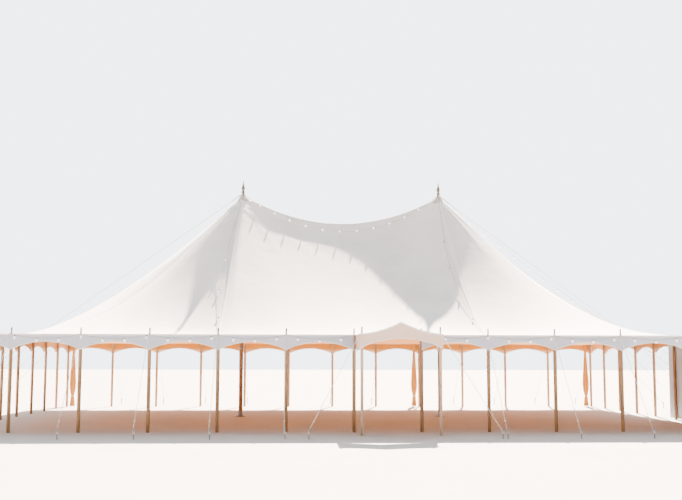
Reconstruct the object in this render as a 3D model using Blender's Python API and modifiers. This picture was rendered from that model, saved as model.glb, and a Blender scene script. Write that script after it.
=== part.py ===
"""Sailcloth pole marquee with two king poles, a swooping canopy, timber side poles, guy ropes and a
gabled entrance awning. Metres, +Z up. The origin is on the ground under the middle of the canopy, the
front faces -Y and the long side runs along X."""

import math

import bmesh
import bpy
import numpy as np
from mathutils import Vector
from mathutils.bvhtree import BVHTree

# Plan
BAY_LENGTH = 1.6
BAYS_LONG = 12
BAY_DEPTH = 1.665
BAYS_DEEP = 8
PEAK_X = 3.0

# Heights
BAND_TOP = 2.27
PEAK_Z = 6.65
RIDGE_LOW_Z = 5.83
RIDGE_POWER = 1.95

# How steeply the cloth swoops: the share of its height left, at a share t of the way up, is t to this power
# Both powers change evenly from the left peak to the right peak, where the cloth hangs lower.
FRONT_POWER_LEFT = 1.21
FRONT_POWER_RIGHT = 1.41
END_POWER_LEFT = 1.46
END_POWER_RIGHT = 1.65
HIP_POWER_AT_PEAK = 1.7
HIP_POWER_GAIN = 1.6

# The cloth stands up a little more beside the ridge: a share of its height, fading over a share of the slope
RIDGE_PINCH = 0.026
RIDGE_PINCH_REACH = 0.06

# Cloth
CLOTH = 0.006
CELLS_END = 10
CELLS_MID = 4
CANOPY_INSET = 0.025
PANEL_CUT_PAST_EDGE = 1.05
VALANCE_TIP_DROP = 0.36
VALANCE_CREST_DROP = 0.17
SCALLOP_POWER = 0.8
SCALLOP_STEPS = 6

# Webbing band on the pole tops
BAND_WIDTH = 0.12
BAND_THICK = 0.01

# Side poles
POLE_RADIUS = 0.043
POLE_SIDES = 10
PIN_RADIUS = 0.018
PIN_ABOVE_BAND = 0.165
PIN_SIDES = 6

# King poles and what stands on them
KING_RADIUS = 0.062
KING_FOOT_RADIUS = 0.17
KING_FOOT_THICK = 0.025
KING_SIDES = 16
COLLAR_RADIUS = 0.095
COLLAR_HEIGHT = 0.026
COLLAR_TOP_WALL = 0.01
EYE_RADIUS = 0.085
EYE_HEIGHT = 0.02
FINIAL_HEIGHT = 0.445
FINIAL_RADIUS = 0.056
FINIAL_SIDES = 12

# The finial from its point down to its base, as shares of its radius and height
FINIAL_SHAPE = (
    (0.0, 1.0),
    (0.1, 0.97),
    (0.28, 0.79),
    (0.6, 0.6),
    (0.95, 0.48),
    (1.0, 0.44),
    (0.92, 0.38),
    (0.68, 0.31),
    (0.6, 0.27),
    (0.68, 0.23),
    (0.88, 0.18),
    (0.9, 0.14),
    (0.8, 0.1),
    (0.6, 0.065),
    (0.6, 0.045),
    (0.75, 0.03),
    (0.75, 0.0),
    (0.0, 0.0),
)

# Ropes and stakes
ROPE_RADIUS = 0.007
ROPE_SIDES = 6
BOLT_ROPE_OFFSET = 0.03
LASHING_HEIGHT = 0.1
GUY_REACH = 2.1
STAKE_RADIUS = 0.02
STAKE_HEIGHT = 0.24
STAKE_TIE = 0.16
STAKE_SIDES = 8
MAIN_GUY_RADIUS = 0.009
MAIN_GUY_REACH = 3.45
MAIN_GUY_BACK = 3.0

# Wall panel at the right end and gathered curtains
WALL_BAYS = 3.35
WALL_OFFSET = 0.05
GROUND_GAP = 0.02
CURTAIN_TOP_RADIUS = 0.043
CURTAIN_SHOULDER_RADIUS = 0.08
CURTAIN_SHOULDER_RISE = 1.1
CURTAIN_BELLY_RADIUS = 0.12
CURTAIN_BELLY_RISE = 0.45
CURTAIN_TIE_RADIUS = 0.06
CURTAIN_TIE_Z = 0.38
CURTAIN_LOW_RADIUS = 0.1
CURTAIN_SIDES = 10
CURTAIN_STEP = 0.19

# Entrance awning
AWNING_X = 0.625 * BAY_LENGTH
AWNING_HALF_WIDTH = 0.95
AWNING_REACH = 1.2
AWNING_APEX_RISE = 0.27
AWNING_SAG = 0.05
AWNING_POLE_RADIUS = 0.034
AWNING_POLE_INSET = 0.06
PIN_HOLE_GAP = 0.003
PIN_EYE_WALL = 0.017
AWNING_GUY_SPREAD = 1.2
AWNING_FRONT_DROP = 0.37
AWNING_TIP_DROP = 0.36
AWNING_ARCH_POWER = 0.65
AWNING_STEPS = 4
AWNING_ARCH_STEPS = 8

# Festoon cable
CABLE_RADIUS = 0.005
CABLE_LIFT = 0.03
CABLE_STEPS = 24
CABLE_STRAIGHT = 0.04
RIDGE_CABLE_SIDE = 0.4
FRONT_CABLE_BOW = {"left": 0.22, "right": -0.2}
EAVE_CABLE_SAG = 0.09
EAVE_CABLE_STEPS = 6
GUY_CABLE_SAG = 0.16
GUY_CABLE_END = 3.2

GAP = 0.0003
FLAT_OF_ROPE = math.cos(math.pi / ROPE_SIDES)
SHARP_ANGLE = math.radians(35)

HALF_LENGTH = BAY_LENGTH * BAYS_LONG / 2
HALF_DEPTH = BAY_DEPTH * BAYS_DEEP / 2
BAND_BOTTOM = BAND_TOP - BAND_THICK
POLE_TOP = BAND_BOTTOM
VALANCE_OFFSET = BAND_WIDTH / 2 - CLOTH
CANOPY_EDGE_Z = BAND_TOP + GAP
COLLAR_Z = PEAK_Z + 2 * CLOTH
EYE_Z = COLLAR_Z + COLLAR_HEIGHT + GAP
KING_TOP = EYE_Z + EYE_HEIGHT + GAP

TIMBER = (0.47, 0.27, 0.13, 1)
CANVAS = (0.78, 0.77, 0.76, 1)
VALANCE_CANVAS = (0.66, 0.66, 0.7, 1)
ROPE = (0.83, 0.8, 0.74, 1)
CABLE = (0.6, 0.59, 0.56, 1)


def clear_scene():
    for obj in list(bpy.data.objects):
        bpy.data.objects.remove(obj, do_unlink=True)


clear_scene()
TENT = bpy.data.collections.new("pole_marquee")
bpy.context.scene.collection.children.link(TENT)


def material(name, colour, roughness):
    made = bpy.data.materials.new(name)
    made.use_nodes = True
    surface = made.node_tree.nodes["Principled BSDF"]
    surface.inputs["Base Color"].default_value = colour
    surface.inputs["Roughness"].default_value = roughness
    made.diffuse_color = colour
    return made


def linked(obj):
    TENT.objects.link(obj)
    return obj


def mesh_object(name, bm):
    """A new object holding the bmesh, in the tent's collection."""
    mesh = bpy.data.meshes.new(name)
    bm.to_mesh(mesh)
    bm.free()
    obj = bpy.data.objects.new(name, mesh)
    return linked(obj)


def finished(obj, name, look):
    """Names the object, gives it its own material and shades it."""
    colour, roughness = look
    obj.name = name
    obj.data.name = name
    obj.data.materials.clear()
    obj.data.materials.append(material(name, colour, roughness))
    obj.data.shade_smooth()
    obj.data.set_sharp_from_angle(angle=SHARP_ANGLE)
    return obj


def as_mesh(obj):
    """The object as evaluated, a plain mesh in world space with its caps welded. The old object goes."""
    graph = bpy.context.evaluated_depsgraph_get()
    mesh = bpy.data.meshes.new_from_object(obj.evaluated_get(graph))
    mesh.transform(obj.matrix_world)
    bm = bmesh.new()
    bm.from_mesh(mesh)
    bmesh.ops.remove_doubles(bm, verts=bm.verts, dist=0.00001)
    bpy.data.objects.remove(obj, do_unlink=True)
    bpy.data.meshes.remove(mesh)
    return mesh_object("piece", bm)


def cylinder(radius, low, high, sides):
    """A round bar from the point low to the point high."""
    bm = bmesh.new()
    low, high = Vector(low), Vector(high)
    depth = (high - low).length
    bmesh.ops.create_cone(bm, cap_ends=True, segments=sides, radius1=radius, radius2=radius, depth=depth)
    bmesh.ops.rotate(bm, verts=bm.verts, cent=(0, 0, 0), matrix=aim(high - low))
    bmesh.ops.translate(bm, verts=bm.verts, vec=(low + high) / 2)
    return mesh_object("bar", bm)


def aim(direction):
    """The rotation that takes +Z to the direction."""
    return Vector(direction).to_track_quat("Z", "Y").to_matrix()


def box(low, high):
    bm = bmesh.new()
    bmesh.ops.create_cube(bm, size=1)
    low, high = Vector(low), Vector(high)
    bmesh.ops.scale(bm, verts=bm.verts, vec=high - low)
    bmesh.ops.translate(bm, verts=bm.verts, vec=(low + high) / 2)
    return mesh_object("block", bm)


def turned(profile, place, sides):
    """A profile of (radius, height) pairs, from the top of its outer side to the bottom, turned round Z."""
    bm = bmesh.new()
    corners = [bm.verts.new((radius, 0, height)) for radius, height in profile]
    for first, second in zip(corners, corners[1:]):
        bm.edges.new((first, second))
    obj = mesh_object("turned", bm)
    obj.location = place
    screw = obj.modifiers.new("turn", "SCREW")
    screw.steps = sides
    screw.render_steps = sides
    screw.use_merge_vertices = True
    screw.merge_threshold = 0.0001
    screw.use_normal_calculate = True
    bpy.context.view_layer.update()
    return facing_out(as_mesh(obj))


def ring(inner, outer, height):
    """The profile of a plain ring."""
    return [(inner, height), (outer, height), (outer, 0), (inner, 0), (inner, height)]


def facing_out(obj):
    """The object with every face turned outwards."""
    bm = bmesh.new()
    bm.from_mesh(obj.data)
    bmesh.ops.recalc_face_normals(bm, faces=bm.faces)
    bm.to_mesh(obj.data)
    bm.free()
    return obj


def tube(points, radius):
    """A cable or rope through the points: a bevelled curve with closed ends, made a mesh."""
    curve = bpy.data.curves.new("line", "CURVE")
    curve.dimensions = "3D"
    curve.bevel_depth = radius
    curve.bevel_resolution = ROPE_SIDES // 2 - 2
    curve.use_fill_caps = True
    spline = curve.splines.new("POLY")
    spline.points.add(len(points) - 1)
    for point, place in zip(spline.points, points):
        point.co = (*place, 1)
    obj = linked(bpy.data.objects.new("line", curve))
    bpy.context.view_layer.update()
    return as_mesh(obj)


def sheet(outline, thickness):
    """A flat closed outline in the XY plane, thickness high with its underside at z = 0."""
    curve = bpy.data.curves.new("outline", "CURVE")
    curve.dimensions = "2D"
    curve.fill_mode = "BOTH"
    curve.extrude = thickness / 2
    spline = curve.splines.new("POLY")
    spline.points.add(len(outline) - 1)
    spline.use_cyclic_u = True
    for point, (x, y) in zip(spline.points, outline):
        point.co = (x, y, 0, 1)
    obj = linked(bpy.data.objects.new("outline", curve))
    obj.location.z = thickness / 2
    bpy.context.view_layer.update()
    return as_mesh(obj)


def boolean(obj, other, operation):
    """The object with one Boolean done. The other object goes."""
    step = obj.modifiers.new(operation.lower(), "BOOLEAN")
    step.operation = operation
    step.object = other
    bpy.context.view_layer.update()
    made = as_mesh(obj)
    bpy.data.objects.remove(other, do_unlink=True)
    return made


def fused(pieces):
    """The pieces as one body."""
    whole = pieces[0]
    for piece in pieces[1:]:
        whole = boolean(whole, piece, "UNION")
    return whole


# The four sides of the tent. Each maps (along, out, z) to the world: along runs from left to right as
# seen from outside, and out is the distance outside the line of the pole axes.
SIDES = {
    "front": (HALF_LENGTH, BAYS_LONG, lambda a, o, z: Vector((a, -HALF_DEPTH - o, z))),
    "back": (HALF_LENGTH, BAYS_LONG, lambda a, o, z: Vector((-a, HALF_DEPTH + o, z))),
    "left": (HALF_DEPTH, BAYS_DEEP, lambda a, o, z: Vector((-HALF_LENGTH - o, -a, z))),
    "right": (HALF_DEPTH, BAYS_DEEP, lambda a, o, z: Vector((HALF_LENGTH + o, a, z))),
}


def side_box(side, along, out, height):
    """A box on one side of the tent, from pairs of limits."""
    place = SIDES[side][2]
    corners = [place(a, o, z) for a, o, z in zip(along, out, height)]
    low = [min(c[k] for c in corners) for k in range(3)]
    high = [max(c[k] for c in corners) for k in range(3)]
    return box(low, high)


def upright_sheet(side, outline, out, thickness):
    """A thin upright sheet on one side: its outline is (along, z) pairs and its inner face is out from the
    pole axes."""
    obj = sheet(outline, thickness)
    place = SIDES[side][2]
    for vertex in obj.data.vertices:
        along, height, depth = vertex.co
        vertex.co = place(along, out + depth, height)
    return facing_out(obj)


def edge_places():
    """How far the edge of the cloth is from the middle of the tent, along X and along Y."""
    return HALF_LENGTH - CANOPY_INSET, HALF_DEPTH - CANOPY_INSET


def between_peaks(left, right, x):
    """A value at x that changes evenly from its left one at the left peak to its right one at the right."""
    share = min(max((x + PEAK_X) / (2 * PEAK_X), 0), 1)
    return left + (right - left) * share


def canopy_height(x, y):
    """Height of the underside of the cloth. Its edge is level and the ridge hangs in a curve between the
    peaks. From there the cloth swoops down to the edge, each way with its own power: down the front and
    back, down the middle of the ends, and down the hips, where the power grows towards the corners. Between
    the peaks the cloth is pinched up beside the ridge."""
    edge_x, edge_y = edge_places()
    front_power = between_peaks(FRONT_POWER_LEFT, FRONT_POWER_RIGHT, x)
    end_power = between_peaks(END_POWER_LEFT, END_POWER_RIGHT, x)
    across = min(abs(y) / edge_y, 1)
    if abs(x) <= PEAK_X:
        top = RIDGE_LOW_Z + (PEAK_Z - RIDGE_LOW_Z) * (abs(x) / PEAK_X) ** RIDGE_POWER
        pinch = RIDGE_PINCH * (1 - (abs(x) / PEAK_X) ** 4)
        beside_ridge = pinch * (1 - across) * math.exp(-across / RIDGE_PINCH_REACH)
        share = (1 - pinch) * (1 - across) ** front_power + beside_ridge
        return CANOPY_EDGE_Z + (top - CANOPY_EDGE_Z) * share
    along = (abs(x) - PEAK_X) / (edge_x - PEAK_X)
    out = max(across, along)
    straight_power = front_power if across > along else end_power
    hip_power = HIP_POWER_AT_PEAK + HIP_POWER_GAIN * out
    near_hip = min(across, along) / out
    power = straight_power + (hip_power - straight_power) * near_hip**2
    return CANOPY_EDGE_Z + (PEAK_Z - CANOPY_EDGE_Z) * (1 - min(out, 1)) ** power


def canopy_lines():
    """The plan lines of one quarter of the canopy: the hips run along the diagonals of its end cells."""
    edge_x, edge_y = edge_places()
    middle = np.linspace(0, PEAK_X, CELLS_MID + 1).tolist()
    end = np.linspace(PEAK_X, edge_x, CELLS_END + 1).tolist()
    return middle + end[1:], np.linspace(0, edge_y, CELLS_END + 1).tolist()


def canopy_shell():
    """The whole canopy: a quarter of its plan as a moved grid, mirrored twice, then raised to its height and
    given its thickness upwards."""
    xs, ys = canopy_lines()
    cells_x, cells_y = len(xs) - 1, len(ys) - 1
    bm = bmesh.new()
    bmesh.ops.create_grid(bm, x_segments=cells_x, y_segments=cells_y, size=0.5)
    for vertex in bm.verts:
        i = round((vertex.co.x + 0.5) * cells_x)
        j = round((vertex.co.y + 0.5) * cells_y)
        vertex.co = (xs[i], ys[j], 0)
    bmesh.ops.triangulate(bm, faces=bm.faces, quad_method="FIXED")
    plan = mesh_object("plan", bm)
    mirror = plan.modifiers.new("mirror", "MIRROR")
    mirror.use_axis = (True, True, False)
    mirror.merge_threshold = 0.0001
    bpy.context.view_layer.update()
    obj = as_mesh(plan)
    for vertex in obj.data.vertices:
        vertex.co.z = canopy_height(vertex.co.x, vertex.co.y)
    solidify = obj.modifiers.new("thickness", "SOLIDIFY")
    solidify.thickness = CLOTH
    solidify.offset = 1
    bpy.context.view_layer.update()
    return as_mesh(obj)


def peaks():
    return (("left", -1), ("right", 1))


def canopy_panels():
    """The canopy cut along its ridge and hips into the four pieces that are laced together on site."""
    shell = canopy_shell()
    for _, side in peaks():
        x = side * PEAK_X
        hole = cylinder(KING_RADIUS + GAP, (x, 0, RIDGE_LOW_Z), (x, 0, KING_TOP), KING_SIDES)
        shell = boolean(shell, hole, "DIFFERENCE")
    edge_x, edge_y = edge_places()
    far_x = PEAK_X + (edge_x - PEAK_X) * PANEL_CUT_PAST_EDGE
    far_y = edge_y * PANEL_CUT_PAST_EDGE
    slope = math.hypot(edge_x - PEAK_X, edge_y)
    # The seams are GAP wide, so each wedge is drawn in by half of that, square to its seams.
    along = GAP / 2 * slope / edge_y
    across = GAP / 2 * slope / (edge_x - PEAK_X)
    bend = GAP / 2 * (slope - edge_y) / (edge_x - PEAK_X)
    long_wedge = [
        (-PEAK_X - bend, GAP / 2),
        (PEAK_X + bend, GAP / 2),
        (far_x - along, far_y),
        (-far_x + along, far_y),
    ]
    end_wedge = [(PEAK_X + along, 0), (far_x, far_y - across), (far_x, -far_y + across)]
    for name, outline, flip in (
        ("canopy_back", long_wedge, 1),
        ("canopy_front", long_wedge, -1),
        ("canopy_right_end", end_wedge, 1),
        ("canopy_left_end", end_wedge, -1),
    ):
        wedge = sheet([(x * flip, y * flip) for x, y in outline], KING_TOP)
        panel = linked(bpy.data.objects.new(name, shell.data.copy()))
        finished(boolean(panel, wedge, "INTERSECT"), name, (CANVAS, 0.85))
    return shell


def bay_places(side):
    """Distances along one side at which its poles stand: the front and back have the corner poles."""
    half, bays, _ = SIDES[side]
    first = 0 if side in ("front", "back") else 1
    return [-half + 2 * half * k / bays for k in range(first, bays + 1 - first)]


def groups(places, most):
    """The places in runs of nearly equal length, at most this many in each."""
    count = math.ceil(len(places) / most)
    return [list(run) for run in np.array_split(np.array(places), count)]


POLES_IN_GROUP = {"front": 5, "back": 5, "left": 7, "right": 7}


def group_limits(side, run, places):
    """Where the band over one run of poles starts and ends along its side."""
    half, bays, _ = SIDES[side]
    bay = 2 * half / bays
    if side in ("front", "back"):
        end = half + BAND_WIDTH / 2
    else:
        end = half - BAND_WIDTH / 2 - GAP
    low = -end if run[0] == places[0] else run[0] - bay / 2 + GAP / 2
    high = end if run[-1] == places[-1] else run[-1] + bay / 2 - GAP / 2
    return low, high


def run_name(kind, side, number):
    """The name of one run: the ends have a single run each, which has no number."""
    return f"{kind}_{side}_{number}" if side in ("front", "back") else f"{kind}_{side}"


def side_poles():
    """Timber poles with steel pins, in runs that the webbing band on their tops holds together."""
    for side in SIDES:
        place = SIDES[side][2]
        places = bay_places(side)
        for number, run in enumerate(groups(places, POLES_IN_GROUP[side]), 1):
            limits = group_limits(side, run, places)
            half_band = BAND_WIDTH / 2
            band = side_box(side, limits, (-half_band, half_band), (BAND_BOTTOM, BAND_TOP))
            pieces = [band]
            for along in run:
                foot, top = place(along, 0, 0), place(along, 0, POLE_TOP + BAND_THICK / 2)
                pieces.append(cylinder(POLE_RADIUS, foot, top, POLE_SIDES))
                pin_foot = place(along, 0, BAND_BOTTOM)
                pin_top = place(along, 0, BAND_TOP + PIN_ABOVE_BAND)
                pieces.append(cylinder(PIN_RADIUS, pin_foot, pin_top, PIN_SIDES))
            finished(fused(pieces), run_name("side_poles", side, number), (TIMBER, 0.6))


def stake(x, y):
    """A stake in the ground: the part of it that shows."""
    return cylinder(STAKE_RADIUS, (x, y, 0), (x, y, STAKE_HEIGHT), STAKE_SIDES)


def guy_lines(side, limits, ties):
    """A bolt rope on the band, and at each tie a lashing beside the pin, a guy rope and its stake."""
    place = SIDES[side][2]
    rope_z = BAND_TOP + GAP + ROPE_RADIUS * FLAT_OF_ROPE
    pieces = [tube([place(a, BOLT_ROPE_OFFSET, rope_z) for a in limits], ROPE_RADIUS)]
    for along in ties:
        lashing_top = BAND_TOP + LASHING_HEIGHT
        low = place(along, BOLT_ROPE_OFFSET, rope_z)
        high = place(along, BOLT_ROPE_OFFSET, lashing_top + ROPE_RADIUS)
        pieces.append(cylinder(ROPE_RADIUS, low, high, ROPE_SIDES))
        start = place(along, BOLT_ROPE_OFFSET, lashing_top)
        end = place(along, GUY_REACH, STAKE_TIE)
        pieces.append(cylinder(ROPE_RADIUS, start, end, ROPE_SIDES))
        pieces.append(stake(end.x, end.y))
    return fused(pieces)


def behind_awning(along):
    """Whether a front pole stands behind the awning, whose own guy ropes serve there."""
    return abs(along - AWNING_X) < AWNING_HALF_WIDTH + POLE_RADIUS + STAKE_RADIUS


def guy_ropes():
    for side in SIDES:
        places = bay_places(side)
        for number, run in enumerate(groups(places, POLES_IN_GROUP[side]), 1):
            low, high = group_limits(side, run, places)
            limits = (low + ROPE_RADIUS, high - ROPE_RADIUS)
            ties = [along for along in run if side != "front" or not behind_awning(along)]
            rope = guy_lines(side, limits, ties)
            finished(rope, run_name("guy_ropes", side, number), (ROPE, 0.9))


def scallops(starts, ends):
    """The lower edge of the valance between pairs of neighbouring tips, as (along, z) pairs."""
    tip = BAND_BOTTOM - VALANCE_TIP_DROP + BAND_THICK
    crest = BAND_BOTTOM - VALANCE_CREST_DROP + BAND_THICK
    points = []
    for low, high in zip(starts, ends):
        for step in range(SCALLOP_STEPS):
            share = step / SCALLOP_STEPS
            rise = math.sin(math.pi * share) ** SCALLOP_POWER
            points.append((low + (high - low) * share, tip + (crest - tip) * rise))
    points.append((ends[-1], tip))
    return points


def valance(name, side, first, last):
    """One stretch of valance from the first pole to the last, with a tip at each pole."""
    half, bays, _ = SIDES[side]
    bay = 2 * half / bays
    tips = [-half + k * bay for k in range(first, last + 1)]
    reach = VALANCE_OFFSET + CLOTH if side in ("front", "back") else VALANCE_OFFSET - GAP
    if first == 0:
        tips[0] = -half - reach
    else:
        tips[0] += GAP / 2
    if last == bays:
        tips[-1] = half + reach
    else:
        tips[-1] -= GAP / 2
    top = BAND_BOTTOM - GAP
    lower = scallops(tips[:-1], tips[1:])
    outline = [*lower, (tips[-1], top), (tips[0], top)]
    obj = upright_sheet(side, outline, VALANCE_OFFSET, CLOTH)
    finished(obj, name, (VALANCE_CANVAS, 0.85))


def valances():
    entrance = BAYS_LONG // 2
    valance("valance_front_left", "front", 0, entrance)
    valance("valance_front_right", "front", entrance + 1, BAYS_LONG)
    valance("valance_back_left", "back", 0, entrance)
    valance("valance_back_right", "back", entrance, BAYS_LONG)
    valance("valance_left_end", "left", 0, BAYS_DEEP)
    valance("valance_right_end", "right", 0, BAYS_DEEP)


def king_poles():
    foot, shaft = KING_FOOT_RADIUS, KING_RADIUS
    profile = [
        (0, KING_TOP),
        (shaft, KING_TOP),
        (shaft, KING_FOOT_THICK),
        (foot, KING_FOOT_THICK),
        (foot, 0),
        (0, 0),
    ]
    collar = [
        (shaft + GAP, COLLAR_HEIGHT),
        (shaft + COLLAR_TOP_WALL, COLLAR_HEIGHT),
        (COLLAR_RADIUS, COLLAR_HEIGHT / 3),
        (COLLAR_RADIUS, 0),
        (shaft + GAP, 0),
        (shaft + GAP, COLLAR_HEIGHT),
    ]
    for name, side in peaks():
        x = side * PEAK_X
        finished(turned(profile, (x, 0, 0), KING_SIDES), f"king_pole_{name}", (TIMBER, 0.6))
        sleeve = turned(collar, (x, 0, COLLAR_Z), KING_SIDES)
        finished(sleeve, f"peak_collar_{name}", (CANVAS, 0.8))
        finished(finial(x), f"finial_{name}", (TIMBER, 0.5))


def finial(x):
    """A turned finial: a base, a lower bulb, a waist, a fuller bulb and a long point."""
    profile = [(FINIAL_RADIUS * radius, FINIAL_HEIGHT * height) for radius, height in FINIAL_SHAPE]
    return turned(profile, (x, 0, KING_TOP + GAP), FINIAL_SIDES)


def main_guy_line(side):
    """The straight line of a main guy rope: from its eye over the end, behind the middle, to its stake."""
    stake = Vector((side * (HALF_LENGTH + MAIN_GUY_REACH), MAIN_GUY_BACK, STAKE_TIE))
    centre = Vector((side * PEAK_X, 0, EYE_Z + EYE_HEIGHT / 2))
    level = Vector((stake.x - centre.x, stake.y - centre.y, 0)).normalized()
    return centre + level * (EYE_RADIUS - MAIN_GUY_RADIUS), stake


def main_guys():
    """A rope from the head of each king pole, where its eye lies, over the end of the tent to a stake."""
    for name, side in peaks():
        profile = ring(KING_RADIUS + GAP, EYE_RADIUS, EYE_HEIGHT)
        eye = turned(profile, (side * PEAK_X, 0, EYE_Z), KING_SIDES)
        start, end = main_guy_line(side)
        rope = cylinder(MAIN_GUY_RADIUS, start, end, ROPE_SIDES)
        finished(fused([eye, rope, stake(end.x, end.y)]), f"main_guy_{name}", (ROPE, 0.9))


def wall_panel():
    """The plain wall panel at the right end, from the front corner back over some bays."""
    front = -HALF_DEPTH + BAND_WIDTH / 2 + GAP
    back = -HALF_DEPTH + WALL_BAYS * BAY_DEPTH
    top = BAND_BOTTOM - GAP
    outline = [(front, GROUND_GAP), (back, GROUND_GAP), (back, top), (front, top)]
    obj = upright_sheet("right", outline, WALL_OFFSET - CLOTH / 2, CLOTH)
    finished(obj, "wall_panel_right_end", (CANVAS, 0.85))


def curtains():
    """Gathered wall curtains, tied near their foot, that hang from the band beside a pole at the back."""
    top = BAND_BOTTOM - GAP
    profile = [
        (0, top),
        (CURTAIN_TOP_RADIUS, top),
        (CURTAIN_TOP_RADIUS, BAND_BOTTOM - VALANCE_TIP_DROP),
        (CURTAIN_SHOULDER_RADIUS, CURTAIN_TIE_Z + CURTAIN_SHOULDER_RISE),
        (CURTAIN_BELLY_RADIUS, CURTAIN_TIE_Z + CURTAIN_BELLY_RISE),
        (CURTAIN_TIE_RADIUS, CURTAIN_TIE_Z),
        (CURTAIN_LOW_RADIUS, GROUND_GAP),
        (0, GROUND_GAP),
    ]
    for name, along in (
        ("curtain_back_left", HALF_LENGTH - CURTAIN_STEP),
        ("curtain_back_middle", -2 * BAY_LENGTH + CURTAIN_STEP),
        ("curtain_back_right", -HALF_LENGTH + CURTAIN_STEP),
    ):
        place = SIDES["back"][2](along, 0, 0)
        finished(turned(profile, place, CURTAIN_SIDES), name, (CANVAS, 0.9))


def awning_line():
    """The cross-section of the awning from left to right, as (x, z) pairs from the middle of its base."""
    half, rise, sag = AWNING_HALF_WIDTH, AWNING_APEX_RISE, AWNING_SAG
    right = []
    for step in range(AWNING_STEPS + 1):
        share = step / AWNING_STEPS
        right.append((half * share, rise * (1 - share) - sag * math.sin(math.pi * share)))
    return [(-x, z) for x, z in reversed(right[1:])] + right


def awning_limits():
    """Height of the awning's lower edge, and how far back and forward it reaches."""
    base_z = BAND_TOP - CLOTH - GAP
    back_y = -HALF_DEPTH - BAND_WIDTH / 2 - GAP
    front_y = -HALF_DEPTH - AWNING_REACH
    return base_z, back_y, front_y


def awning_roof():
    """The gabled roof cloth: its cross-section drawn out to the front, with a hole at each pin."""
    base_z, back_y, front_y = awning_limits()
    line = [(x, z + base_z) for x, z in awning_line()]
    outline = line + [(x, z + CLOTH) for x, z in reversed(line)]
    roof = sheet(outline, back_y - front_y)
    for vertex in roof.data.vertices:
        x, z, y = vertex.co
        vertex.co = (AWNING_X + x, front_y + y, z)
    roof = facing_out(roof)
    for _, _, x, y in awning_corners():
        high = BAND_TOP + LASHING_HEIGHT
        hole = cylinder(PIN_RADIUS + PIN_HOLE_GAP, (x, y, base_z - CLOTH), (x, y, high), PIN_SIDES + 2)
        roof = boolean(roof, hole, "DIFFERENCE")
    finished(roof, "awning_roof", (CANVAS, 0.85))


def awning_valance():
    """The arched face under the awning's front edge, with a plain flap down each side."""
    base_z, back_y, front_y = awning_limits()
    line = [(x, z + base_z) for x, z in awning_line()]
    tip = base_z - AWNING_TIP_DROP
    crest = base_z - AWNING_FRONT_DROP + AWNING_APEX_RISE
    half = AWNING_HALF_WIDTH
    arch = []
    for step in range(AWNING_ARCH_STEPS + 1):
        share = step / AWNING_ARCH_STEPS
        rise = math.sin(math.pi * share) ** AWNING_ARCH_POWER
        arch.append((half - 2 * half * share, tip + (crest - tip) * rise))
    face = sheet([(x, z - GAP) for x, z in line] + arch, CLOTH)
    for vertex in face.data.vertices:
        x, z, y = vertex.co
        vertex.co = (AWNING_X + x, front_y + y, z)
    pieces = [facing_out(face)]
    for side in (-1, 1):
        edge = AWNING_X + side * half
        inner = edge - side * CLOTH
        low = (min(edge, inner), front_y, tip)
        pieces.append(box(low, (max(edge, inner), back_y, base_z - GAP)))
    finished(fused(pieces), "awning_valance", (VALANCE_CANVAS, 0.85))


def awning_underside(x):
    """How far the roof's underside is above its edge, at this distance from its middle."""
    line = awning_line()
    return float(np.interp(x, [place for place, _ in line], [height for _, height in line]))


def awning_corners():
    """Name, side and plan place of the two awning poles, inside the front corners of its roof."""
    y = -HALF_DEPTH - AWNING_REACH + AWNING_POLE_INSET
    half = AWNING_HALF_WIDTH - AWNING_POLE_INSET
    return [(name, side, AWNING_X + side * half, y) for name, side in peaks()]


def awning_poles():
    """Slender poles with a pin through the roof, and on each pin the eye of a guy rope to its stake."""
    for name, side, x, y in awning_corners():
        outer_rim = AWNING_HALF_WIDTH - AWNING_POLE_INSET + AWNING_POLE_RADIUS
        top = BAND_TOP - CLOTH - 2 * GAP + awning_underside(outer_rim)
        eye_z = BAND_TOP + LASHING_HEIGHT
        pin_top = BAND_TOP + PIN_ABOVE_BAND
        pole = cylinder(AWNING_POLE_RADIUS, (x, y, 0), (x, y, top), POLE_SIDES)
        pin = cylinder(PIN_RADIUS, (x, y, top - CLOTH), (x, y, pin_top), PIN_SIDES)
        finished(fused([pole, pin]), f"awning_pole_{name}", (TIMBER, 0.6))
        inner = PIN_RADIUS + GAP
        eye = turned(ring(inner, inner + PIN_EYE_WALL, EYE_HEIGHT), (x, y, eye_z), PIN_SIDES * 2)
        stake_x, stake_y = x + side * AWNING_GUY_SPREAD, -HALF_DEPTH - GUY_REACH
        away = Vector((stake_x - x, stake_y - y, 0)).normalized() * (inner + PIN_EYE_WALL / 2)
        start = Vector((x, y, eye_z + EYE_HEIGHT / 2)) + away
        rope = cylinder(ROPE_RADIUS, start, (stake_x, stake_y, STAKE_TIE), ROPE_SIDES)
        finished(fused([eye, rope, stake(stake_x, stake_y)]), f"awning_guy_{name}", (ROPE, 0.9))


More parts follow.
